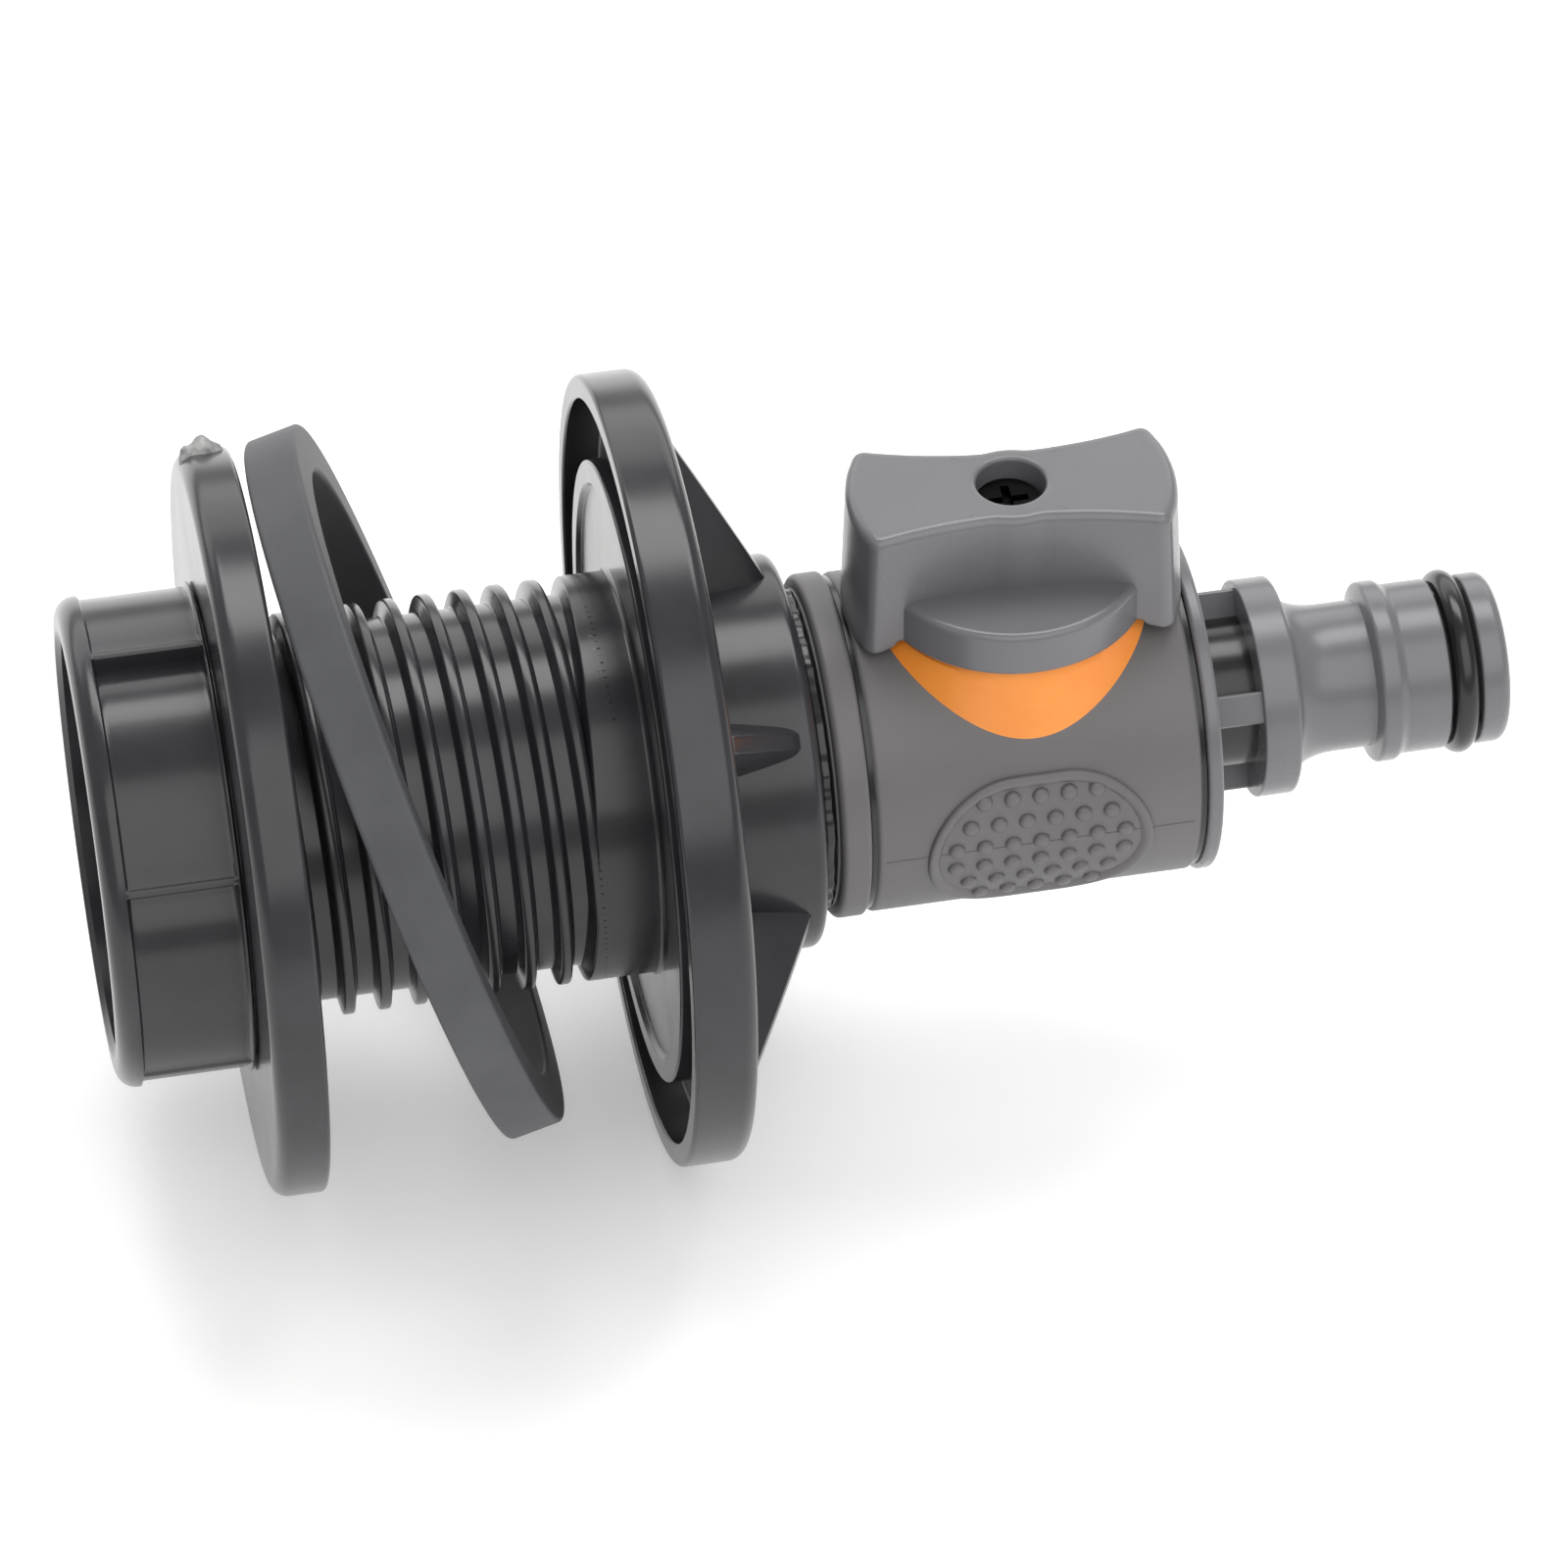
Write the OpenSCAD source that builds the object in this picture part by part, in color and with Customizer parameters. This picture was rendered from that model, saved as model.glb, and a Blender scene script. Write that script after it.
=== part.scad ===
// Rain barrel tap: a through-wall connector with nut and seal, a quarter-turn ball valve
// and a push-on hose nipple. The pipe axis is X, the valve stem points along +Z, and the
// origin is on the pipe axis in the plane where the flange meets the barrel wall.

/* [Barrel connector] */
// Radius of the round flange that bears on the barrel wall
flange_r = 36.5; // [35.5:0.5:39]
// Thickness of the flange from its bearing face to its back
flange_t = 5.8; // [5.4:0.1:7]
// Thickness of the rim outside the seal groove
rim_t = 2.2; // [1.6:0.1:2.6]
// Radial width of the seal groove
groove_w = 5.6; // [5:0.1:6]
// Depth of the seal groove
groove_depth = 3.6; // [2.4:0.1:3.8]
// Depth of the shallow recess in the land inside the groove
land_recess = 0.5; // [0.3:0.1:1]
// Crest radius of the threaded shank
shank_r = 18.5; // [18:0.1:19]
// Length of the shank from the bearing face to its free end
shank_len = 45; // [43:0.5:50]
// Radius of the water way through the shank
shank_bore_r = 13.5; // [12.5:0.1:14]
// Length of the smooth collar between the thread and the flange
collar_len = 3.4; // [2.5:0.1:4]
// Outer radius of the hub that carries the valve
hub_r = 18.2; // [17.8:0.1:19]
// Length of the hub from the bearing face to its end
hub_len = 15.6; // [14:0.1:18]
// Number of gussets between flange and hub
gussets = 6; // [4:1:8]
// Thickness of one gusset
gusset_t = 1.6; // [1.2:0.1:2.4]
// Height of a gusset on the back of the flange, as a radius
gusset_r = 33.4; // [30:0.1:34.5]

/* [Shank thread] */
// Travel of the thread in one turn
pitch = 3.3; // [3:0.1:3.6]
// Height of the thread ridge above its root
thread_h = 1.6; // [1.2:0.1:1.8]
// Width of the ridge at its crest
crest_w = 0.9; // [0.6:0.1:1]
// Width of the ridge at its root
root_w = 1.7; // [1.4:0.1:1.8]
// Radial clearance between the shank thread and the nut thread
thread_clear = 0.3; // [0.25:0.05:0.4]
// Place of a ridge's middle on the +Y side, towards the flange
thread_lead = -0.35; // [-1.6:0.05:1.6]

/* [Nut] */
// Distance of the nut's bearing face from the flange's bearing face
nut_gap = 32.3; // [31:0.1:33]
// How much smaller the nut's flange is than the connector's, in radius
nut_flange_inset = 2.4; // [1:0.1:4]
// Thickness of the nut's flange
nut_flange_t = 4.8; // [4:0.1:6]
// Radius of the nut's grip at its ridges
grip_r = 22.4; // [22:0.1:24]
// Length of the nut's grip
grip_len = 11.8; // [10:0.1:14]
// Height of the step where one grip panel ends and the next begins
grip_step = 1.2; // [0.8:0.1:1.4]
// Number of grip panels
grip_panels = 6; // [5:1:8]
// Length of the round lip at the free end of the grip
grip_lip = 2.6; // [2:0.1:4]

/* [Loose seal] */
// Thickness of the flange seal
seal_t = 5; // [4.5:0.1:5.2]
// Clearance of the seal in its groove
seal_clear = 0.45; // [0.3:0.05:0.6]
// Lean of the seal towards the nut
seal_lean = 20.7; // [18:0.1:22]
// Swing of the seal about the vertical
seal_swing = 2.6; // [0:0.1:4]
// Height of the seal's centre above the pipe axis
seal_lift = 2.8; // [1:0.1:3]

/* [Valve body] */
// Outer radius of the valve body
body_r = 15.7; // [15.2:0.1:16.4]
// Length of the valve body
body_len = 30.1; // [29:0.1:34]
// Radius of the chamber that runs through the valve body
chamber_r = 11.2; // [10.9:0.1:11.6]
// How far the end caps' outer rings stand out past the body
cap_proud = 0.2; // [0:0.1:0.8]
// Thickness of the end caps' outer rings
cap_t = 2.1; // [1.6:0.1:3]
// Gap between an end cap and the valve body, filled by a seal
cap_gap = 0.5; // [0.4:0.1:0.8]
// Thickness of the flat washer between hub and inlet cap
washer_t = 1.4; // [1.2:0.1:2.2]
// Radial width of that washer, from the hub's pipe thread out to the caps' radius
washer_w = 2.7; // [2.4:0.1:2.9]
// Thickness of the step between the washer and the inlet cap's ring
shoulder_t = 0.9; // [0.6:0.1:1.6]
// Length of the grip pad on each side of the body
pad_len = 20.9; // [19:0.1:24]
// Height of the grip pad
pad_h = 16.4; // [15.8:0.1:17]
// Distance of the pad's middle below the pipe axis
pad_drop = 2; // [0:0.1:2.4]
// Height of the pad's rim and dots above the body
pad_relief = 0.45; // [0.3:0.05:0.8]
// Distance between the pad's dots along a row
dot_pitch = 2.6; // [2.4:0.05:2.7]
// Distance between the rows of dots
dot_row = 2.45; // [2.2:0.05:2.5]
// Radius of a dot
dot_r = 0.75; // [0.5:0.05:0.9]

/* [Ball and stem] */
// Radius of the ball
ball_r = 8.6; // [8.3:0.1:8.8]
// Radius of the water way through ball, seats and caps
way_r = 5.1; // [4.6:0.1:5.2]
// Radius of the stem
stem_r = 4.1; // [3.9:0.05:4.2]
// Radial clearance of the stem in its hole
stem_clear = 0.08; // [0.05:0.01:0.1]
// Radius of the flange at the stem's foot
stem_foot_r = 5.4; // [5.2:0.1:5.6]
// Width of the slot in the ball
slot_w = 2.6; // [2.2:0.1:3]
// Width across the flats of the stem's square head
square_w = 5.4; // [5:0.1:5.5]
// Thickness of the O-rings on the stem
stem_seal_t = 1.4; // [1.2:0.1:1.5]
// Radius of the neck that guides the stem
neck_r = 7.6; // [7.2:0.1:8]

/* [Handle] */
// Height of the handle
handle_h = 13.2; // [12.4:0.1:15]
// Gap between the valve body and the handle above it
handle_lift = 0.6; // [0.4:0.1:1.4]
// Height of the stem's neck above the handle's underside
neck_reach = 1.4; // [1.2:0.1:1.8]
// Distance from the top of the handle down to the stem's end
stem_cover = 6.5; // [6:0.1:8]
// Radius of the circle that ends the wings
handle_r = 15.4; // [14.5:0.1:17]
// Width of the wings at their ends
wing_w = 12.3; // [11:0.1:14]
// Width of the handle at its waist
waist_w = 8.6; // [8:0.1:9.4]
// Radius of the boss at the centre of the handle
boss_r = 4.9; // [4.7:0.1:5.6]
// Radius of the screw hole in the top of the handle
handle_hole_r = 3.2; // [3:0.1:3.5]
// Radius of the round disc under the wings
disc_r = 12.3; // [12:0.1:13.5]
// Height of the round disc
disc_t = 4.8; // [4.4:0.1:6]
// Wall thickness of the handle's wings
wing_wall = 1.8; // [1.4:0.1:2.4]
// Rounding of the handle's top edges
top_round = 0.9; // [0.4:0.1:1.2]
// Radius of the coloured collar under the handle
indicator_r = 12.9; // [12.5:0.1:14]

/* [Hose nipple] */
// Radius of the nipple where a hose connector seats
tip_r = 7.9; // [7.7:0.1:8.1]
// Distance of the nipple's tip from the outlet cap
nipple_len = 27.8; // [27.4:0.1:32]
// Radius of the stop collar
stop_r = 10.1; // [9.8:0.1:11]
// Thickness of the stop collar
stop_t = 4.4; // [3.4:0.1:4.8]
// Rounding of the stop collar on the nipple's side
stop_round = 1.6; // [0.6:0.1:1.9]
// Number of ribs between the outlet cap and the stop collar
ribs = 6; // [4:1:8]
// Length of the ribs
rib_len = 3.8; // [3:0.1:5]
// Length of the flare from the stop collar down to the neck
neck_flare = 4.6; // [3:0.1:5]
// Length of the straight neck
neck_len = 1.5; // [1:0.1:2.5]
// Radius of the neck that a connector's latches drop into
latch_neck_r = 6.85; // [6.4:0.05:7]
// Radius of the ridge that the latches hold behind
latch_ridge_r = 8.4; // [8.3:0.05:8.6]
// Width of the ridge at its crest
ridge_w = 1.6; // [1:0.1:3]
// Length of the smooth seat between the ridge and the O-ring's groove
seat_len = 2.6; // [2:0.1:3.2]
// Section of the O-ring on the nipple
tip_seal_t = 2.4; // [2.2:0.1:2.6]
// Height that the O-ring stands proud of the tip
tip_seal_proud = 0.65; // [0.4:0.05:0.8]
// Side room of the O-ring in its groove
tip_seal_room = 0.55; // [0.1:0.05:0.6]

/* [Hidden] */
$fn = 96;

// Small overlap that lets joined shapes fuse
eps = 0.2;
// Clearance between parts that are fixed to each other
fit = 0.1;
// Clearance between parts that move past each other
run = 0.3;
// Common edge break
edge = 0.4;

// Barrel connector
groove_out_r = flange_r - rim_t;
groove_in_r = groove_out_r - groove_w;
shank_root_r = shank_r - thread_h;
core_d = 0.5;
shank_core_r = shank_root_r - core_d;
land_lip = 1.2;
back_edge = 1.4;
hub_edge = 1;
hub_fillet = 0.8;
gusset_turn = 46;
gusset_end_x = hub_len - hub_edge - 0.5;
thread_run_out = 1.5;
thread_end_x = -collar_len - thread_run_out;
thread_start_x = -shank_len + 1;

// Nut
nut_flange_r = flange_r - nut_flange_inset;
nut_x = -nut_gap;
nut_back_x = nut_x - nut_flange_t;
nut_end_x = nut_back_x - grip_len;
nut_bore_r = shank_r + thread_clear;
nut_thread_r = shank_root_r + thread_clear;
panel_end_lip = 0.5;
panel_gap = 0.5;
grip_turn = 2;
ridge_r = grip_r - 0.15;

// Loose seal, which leans on the nut's bearing face at its top
seal_out_r = groove_out_r - seal_clear;
seal_in_r = groove_in_r + seal_clear;
seal_x = nut_x + run + (seal_out_r * sin(seal_lean) + seal_t / 2 * cos(seal_lean)) * cos(seal_swing);

// Valve body and caps
washer_x = hub_len;
shoulder_x = washer_x + washer_t;
inlet_cap_x = shoulder_x + shoulder_t;
body_x = inlet_cap_x + cap_t + cap_gap;
valve_x = body_x + body_len / 2;
body_end_x = body_x + body_len;
outlet_cap_x = body_end_x + cap_gap;
nipple_x = outlet_cap_x + cap_t;
tip_x = nipple_x + nipple_len;
cap_r = body_r + cap_proud;
pipe_thread_r = cap_r - washer_w;
shoulder_r = cap_r - 0.8;
cap_seal_out_r = body_r - 0.3;
cap_seal_w = 1.8;
cap_seal_t = 1.8;
tail_r = pipe_thread_r - fit;
tail_len = 9.5;
tail_wall = 2.2;
tail_cone = 4;
spigot_r = chamber_r - fit;

// Ball, seats and stem
seat_out_r = ball_r;
seat_in_r = way_r + 0.6;
seat_t = 3.1;
seat_face = 5.2;
ring_t = 1.7;
pocket_r = seat_out_r + fit;
pocket_d = seat_face + seat_t + ring_t;
spigot_d = seat_face + 1;
slot_floor = way_r + 1.2;
foot_t = 1.2;
foot_z = ball_r + run;
stem_washer_t = 0.6;
ceiling_z = foot_z + foot_t + stem_washer_t + 0.1;
stem_hole_r = stem_r + stem_clear;
seal_groove_r = stem_hole_r - stem_seal_t;
handle_base = body_r + handle_lift;
neck_top = handle_base + neck_reach;
seal_land = (neck_top - ceiling_z - 2 * stem_seal_t) / 3;
seal_lower_z = ceiling_z + seal_land;
seal_upper_z = seal_lower_z + stem_seal_t + seal_land;

// Handle
handle_top = handle_base + handle_h;
socket_z = neck_top + run;
stem_top = handle_top - stem_cover;
web_z = stem_top + fit;
hole_floor = web_z + 1.4;
disc_round = 0.7;
wing_reach = sqrt(handle_r * handle_r - wing_w * wing_w / 4);
wing_flare = (wing_w - waist_w) / 2;
side_r = (wing_reach * wing_reach + wing_flare * wing_flare) / (2 * wing_flare);
side_y = waist_w / 2 + side_r;
screw_r = 1.5;
screw_len = 9;
turn_stop_span = 44;
turn_stop_gap = 1;
turn_stop_t = 1;
turn_stop_r = neck_r + turn_stop_t;
turn_stop_len = 2;
turn_room_r = turn_stop_r + run;
collar_in_r = turn_room_r + run;

// Nipple
core_r = stop_r - 2.6;
rib_r = stop_r - 0.6;
neck_start_r = 7.8;
ridge_ramp = 1.4;
ridge_fall = 1.3;
rib_span = 18;
stop_x = nipple_x + rib_len;
neck_x = stop_x + stop_t;
latch_x = neck_x + neck_flare;
ridge_x = latch_x + neck_len + ridge_ramp;
ridge_end_x = ridge_x + ridge_w;
tip_groove_x = ridge_end_x + ridge_fall + seat_len;
tip_groove_w = tip_seal_t + 2 * tip_seal_room;
tip_seal_x = tip_groove_x + tip_seal_room;
tip_groove_r = tip_r + tip_seal_proud - tip_seal_t;

// Points on a round corner about c, from angle a to angle b
function corner(c, r, a, b, n = 5) = [for (i = [0:n])
    c + r * [cos(a + (b - a) * i / n), sin(a + (b - a) * i / n)]];

// Points on a hollow quarter of an ellipse that leaves p square to the axis and meets q along it
function flare(p, q, n = 8) = [for (i = [0:n])
    let (a = 90 * i / n)
    [q[0] + (p[0] - q[0]) * (1 - sin(a)), p[1] + (q[1] - p[1]) * (1 - cos(a))]];

// A profile of [radius, x] points turned round the pipe axis
module turned(points) {
    rotate([0, 90, 0])
        rotate_extrude()
            polygon(points);
}

// A plain tube along the pipe axis
module pipe(x, len, out_r, in_r) {
    turned([[in_r, x], [out_r, x], [out_r, x + len], [in_r, x + len]]);
}

// A rod along the pipe axis
module rod(x, len, r) {
    translate([x, 0, 0])
        rotate([0, 90, 0])
            cylinder(h = len, r = r);
}

// A seal ring of section w by t with rounded corners, standing on radius in_r
module seal_ring(x, t, in_r, out_r, round_r = 0.5) {
    turned(concat(
        corner([out_r - round_r, x + round_r], round_r, -90, 0),
        corner([out_r - round_r, x + t - round_r], round_r, 0, 90),
        corner([in_r + round_r, x + t - round_r], round_r, 90, 180),
        corner([in_r + round_r, x + round_r], round_r, 180, 270)));
}

// A threaded sleeve from x0 to x1, whose ridge is centred on x = lead at angle 0. Row by row the
// points follow the helix, so a full turn on they are one pitch, or one section, further. Points
// past the ends are held at the ends, and the ridge fades out there. The face at hidden_r lies
// inside the solid that carries the thread.
module thread_sleeve(x0, x1, lead, root_r, crest_r, hidden_r) {
    steps = 36;
    fade = pitch / 2;
    section = [[-root_w / 2, 0], [-crest_w / 2, 1], [crest_w / 2, 1], [root_w / 2, 0]];
    n = len(section);
    first = floor((x0 - lead) / pitch) - 1;
    turns = ceil((x1 - lead) / pitch) + 1 - first;
    rows = n * turns;
    thread = [for (i = [0:rows], j = [0:steps - 1])
        let (
            s = section[i % n],
            x = min(max(lead + pitch * (first + floor(i / n) + j / steps) + s[0], x0), x1),
            r = root_r + (crest_r - root_r) * s[1] * min(1, (x - x0) / fade, (x1 - x) / fade),
            a = 360 * j / steps
        )
        [x, r * cos(a), r * sin(a)]];
    hidden = [for (x = [x1, x0], j = [0:steps - 1])
        let (a = 360 * j / steps)
        [x, hidden_r * cos(a), hidden_r * sin(a)]];
    number = function (i, j) j < steps ? i * steps + j : i <= rows ? min(i + n, rows) * steps : i * steps;
    faces = [for (i = [0:rows + 2], j = [0:steps - 1])
        let (k = (i + 1) % (rows + 3), a = number(i, j), b = number(k, j), c = number(k, j + 1), d = number(i, j + 1))
        for (f = [[a, b, c], [a, c, d]])
            crest_r > root_r ? f : [f[2], f[1], f[0]]];
    polyhedron(concat(thread, hidden), faces);
}

module gusset() {
    foot = hub_r - 1;
    translate([0, -gusset_t / 2, 0])
        rotate([90, 0, 0])
            mirror([0, 0, 1])
                linear_extrude(gusset_t)
                    polygon([
                        [flange_t - eps, foot], [flange_t - eps, gusset_r], [flange_t + edge, gusset_r],
                        [gusset_end_x, hub_r - eps], [gusset_end_x, foot]
                    ]);
}

module tank_connector() {
    color("#3b3d40") {
        turned(concat(
            [[shank_bore_r, -shank_len], [shank_core_r - edge, -shank_len]],
            [[shank_core_r, -shank_len + edge], [shank_core_r, thread_end_x]],
            [[shank_r, -collar_len], [shank_r, -edge], [shank_r - edge, 0], [shank_r - edge, land_recess]],
            [[groove_in_r - land_lip, land_recess], [groove_in_r - land_lip, 0], [groove_in_r, 0]],
            [[groove_in_r, groove_depth], [groove_out_r, groove_depth], [groove_out_r, 0]],
            corner([flange_r - edge, edge], edge, -90, 0, 3),
            corner([flange_r - back_edge, flange_t - back_edge], back_edge, 0, 90),
            corner([hub_r + hub_fillet, flange_t + hub_fillet], hub_fillet, 270, 180),
            corner([hub_r - hub_edge, hub_len - hub_edge], hub_edge, 0, 90),
            [[pipe_thread_r, hub_len], [pipe_thread_r, hub_len - tail_len - 1]],
            [[shank_bore_r, hub_len - tail_len - 1 - abs(shank_bore_r - pipe_thread_r)]]));
        for (i = [0:gussets - 1])
            rotate([gusset_turn + 360 / gussets * i, 0, 0])
                gusset();
        thread_sleeve(thread_start_x, thread_end_x, thread_lead, shank_root_r, shank_r, shank_core_r - core_d);
    }
}

// Outline of the grip: each panel's radius grows by the step from one ridge to the next
module grip_outline() {
    span = 360 / grip_panels;
    steps = 8;
    polygon([for (k = [0:grip_panels - 1], i = [0:steps])
        let (a = span * (k + i / steps), r = ridge_r - grip_step * (1 - i / steps))
        [r * cos(a), r * sin(a)]]);
}

module tank_nut() {
    color("#3b3d40")
        union() {
            difference() {
                union() {
                    turned(concat(
                        corner([grip_r - grip_step, nut_end_x + grip_step], grip_step, 270, 360),
                        [[grip_r, nut_end_x + grip_lip], [0, nut_end_x + grip_lip], [0, nut_end_x]]));
                    translate([nut_end_x + grip_lip - eps, 0, 0])
                        rotate([grip_turn, 0, 0])
                            rotate([0, 90, 0])
                                linear_extrude(grip_len - panel_gap - panel_end_lip - grip_lip + 2 * eps)
                                    grip_outline();
                    rod(nut_back_x - panel_gap - panel_end_lip, panel_end_lip, grip_r);
                    rod(nut_back_x - panel_gap - eps, panel_gap + 2 * eps, ridge_r - grip_step - eps);
                    turned(concat(
                        [[0, nut_back_x]],
                        corner([nut_flange_r - back_edge, nut_back_x + back_edge], back_edge, 270, 360),
                        corner([nut_flange_r - edge, nut_x - edge], edge, 0, 90, 3),
                        [[0, nut_x]]));
                }
                rod(nut_end_x - 1, nut_x - nut_end_x + 2, nut_bore_r + core_d);
            }
            thread_sleeve(nut_end_x + edge, nut_x - edge, thread_lead + pitch / 2, nut_bore_r, nut_thread_r,
                nut_bore_r + 2 * core_d);
        }
}

module flange_seal_ring() {
    color("#45484b")
        translate([seal_x, 0, seal_lift])
            rotate([0, 0, -seal_swing])
                rotate([0, -seal_lean, 0])
                    seal_ring(-seal_t / 2, seal_t, seal_in_r, seal_out_r, edge);
}

module inlet_washer() {
    color("#1c1c1e")
        seal_ring(washer_x, washer_t, pipe_thread_r + fit, cap_r, edge);
}

// The inner end of a cap, drawn for the inlet side: a spigot with a pocket for the ball seat
module cap_spigot() {
    difference() {
        rod(inlet_cap_x + cap_t / 2, valve_x - spigot_d - inlet_cap_x - cap_t / 2, spigot_r);
        rod(valve_x - pocket_d, pocket_d, pocket_r);
        rod(inlet_cap_x, body_len, way_r);
    }
}

module inlet_cap() {
    color("#6f7173") {
        turned([
            [way_r, inlet_cap_x + cap_t], [way_r, shoulder_x - tail_len + tail_cone],
            [tail_r - tail_wall, shoulder_x - tail_len],
            [tail_r - edge, shoulder_x - tail_len], [tail_r, shoulder_x - tail_len + edge], [tail_r, shoulder_x],
            [shoulder_r, shoulder_x], [shoulder_r, inlet_cap_x], [cap_r - edge, inlet_cap_x],
            [cap_r, inlet_cap_x + edge], [cap_r, inlet_cap_x + cap_t - edge],
            [cap_r - edge, inlet_cap_x + cap_t]
        ]);
        cap_spigot();
    }
}

// A seal in the step at the end of the valve body, its outer edge showing in the gap
module cap_seal(x) {
    seal_ring(x, cap_seal_t, cap_seal_out_r - cap_seal_w, cap_seal_out_r, 0.2);
}

module inlet_cap_seal() {
    color("#1c1c1e")
        cap_seal(body_x - cap_gap);
}

module outlet_cap_seal() {
    color("#1c1c1e")
        cap_seal(body_end_x + cap_gap - cap_seal_t);
}

// Outline of the grip pad, smaller by inset, centred on the origin
module pad_outline(inset) {
    r = pad_h / 2 - inset;
    half = (pad_len - pad_h) / 2;
    square([2 * half, 2 * r], center = true);
    for (s = [-1, 1])
        translate([s * half, 0])
            circle(r);
}

// The raised oval rim and the dots of one pad, drawn on the +Y side
module grip_pad() {
    rim_w = 1.1;
    row_dots = [5, 6, 7, 7, 6, 5];
    rows = len(row_dots);
    intersection() {
        translate([valve_x, 0, -pad_drop])
            rotate([-90, 0, 0])
                linear_extrude(body_r + 1) {
                    difference() {
                        pad_outline(0);
                        pad_outline(rim_w);
                    }
                    for (k = [0:rows - 1], i = [0:row_dots[k] - 1])
                        translate([(i - (row_dots[k] - 1) / 2) * dot_pitch, (k - (rows - 1) / 2) * dot_row])
                            circle(dot_r, $fn = 24);
                }
        pipe(body_x, body_len, body_r + pad_relief, body_r - eps);
    }
}

module valve_body() {
    step_d = cap_seal_t - cap_gap;
    step_in_r = cap_seal_out_r - cap_seal_w - fit;
    color("#6f7173")
        difference() {
            union() {
                rod(body_x, body_len, body_r);
                translate([valve_x, 0, 0]) {
                    cylinder(h = neck_top, r = neck_r);
                    for (a = [90, 270])
                        rotate([0, 0, a - turn_stop_span])
                            rotate_extrude(angle = turn_stop_span)
                                translate([neck_r - eps, handle_base - turn_stop_len])
                                    square([turn_stop_t + eps, neck_top - handle_base + turn_stop_len]);
                }
                for (s = [0, 1])
                    mirror([0, s, 0])
                        grip_pad();
            }
            rod(body_x - 1, body_len + 2, chamber_r);
            for (x = [body_x - 1, body_end_x - step_d])
                pipe(x, step_d + 1, cap_seal_out_r, step_in_r);
            translate([valve_x, 0, 0]) {
                cylinder(h = ceiling_z, r = stem_foot_r + run);
                cylinder(h = neck_top + 1, r = stem_hole_r);
            }
        }
}

module outlet_nipple() {
    end_r = 1;
    color("#6f7173") {
        turned(concat(
            [[way_r, outlet_cap_x], [cap_r - edge, outlet_cap_x], [cap_r, outlet_cap_x + edge]],
            [[cap_r, nipple_x - edge], [cap_r - edge, nipple_x], [core_r, nipple_x], [core_r, stop_x]],
            [[stop_r, stop_x]],
            corner([stop_r - stop_round, neck_x - stop_round], stop_round, 0, 90, 6),
            flare([neck_start_r, neck_x], [latch_neck_r, latch_x]),
            [[latch_neck_r, ridge_x - ridge_ramp], [latch_ridge_r - edge, ridge_x - edge], [latch_ridge_r, ridge_x]],
            [[latch_ridge_r, ridge_end_x], [tip_r, ridge_end_x + ridge_fall]],
            [[tip_r, tip_groove_x], [tip_groove_r, tip_groove_x], [tip_groove_r, tip_groove_x + tip_groove_w]],
            [[tip_r, tip_groove_x + tip_groove_w]],
            corner([tip_r - end_r, tip_x - end_r], end_r, 0, 90),
            [[way_r, tip_x]]));
        for (i = [0:ribs - 1])
            rotate([360 / ribs * i, 0, 0])
                rotate([0, 90, 0])
                    translate([0, 0, nipple_x - eps])
                        rotate([0, 0, -rib_span / 2])
                            rotate_extrude(angle = rib_span)
                                translate([core_r - eps, 0])
                                    square([rib_r - core_r + eps, rib_len + 2 * eps]);
        translate([2 * valve_x, 0, 0])
            mirror([1, 0, 0])
                cap_spigot();
    }
}

module nipple_o_ring() {
    color("#161617")
        rotate([0, 90, 0])
            rotate_extrude()
                translate([tip_groove_r + tip_seal_t / 2, tip_seal_x + tip_seal_t / 2])
                    circle(tip_seal_t / 2, $fn = 48);
}

module indicator_collar() {
    color("#f5953a")
        difference() {
            translate([valve_x, 0, 0])
                difference() {
                    cylinder(h = handle_base - run, r = indicator_r);
                    translate([0, 0, -1])
                        cylinder(h = handle_base + 2, r = collar_in_r);
                }
            rod(body_x, body_len, body_r);
        }
}

// Drawn for the inlet side, with a round face that follows the ball
module ball_seat() {
    difference() {
        pipe(valve_x - seat_face - seat_t, seat_t, seat_out_r, seat_in_r);
        translate([valve_x, 0, 0])
            sphere(ball_r + run);
    }
}

module seat_spring_ring() {
    seal_ring(valve_x - pocket_d, ring_t, seat_out_r - 2 * ring_t / 2 - 0.4, seat_out_r, 0.6);
}

module outlet_side() {
    translate([2 * valve_x, 0, 0])
        mirror([1, 0, 0])
            children();
}

module ball_seat_inlet() {
    color("#e9e7e0") ball_seat();
}

module ball_seat_outlet() {
    color("#e9e7e0") outlet_side() ball_seat();
}

module seat_spring_ring_inlet() {
    color("#1c1c1e") seat_spring_ring();
}

module seat_spring_ring_outlet() {
    color("#1c1c1e") outlet_side() seat_spring_ring();
}

module valve_ball() {
    color("#c9ccd0")
        difference() {
            translate([valve_x, 0, 0])
                sphere(ball_r);
            rod(valve_x - ball_r - 1, 2 * ball_r + 2, way_r);
            translate([valve_x - slot_w / 2, -ball_r, slot_floor])
                cube([slot_w, 2 * ball_r, ball_r]);
        }
}

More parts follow.
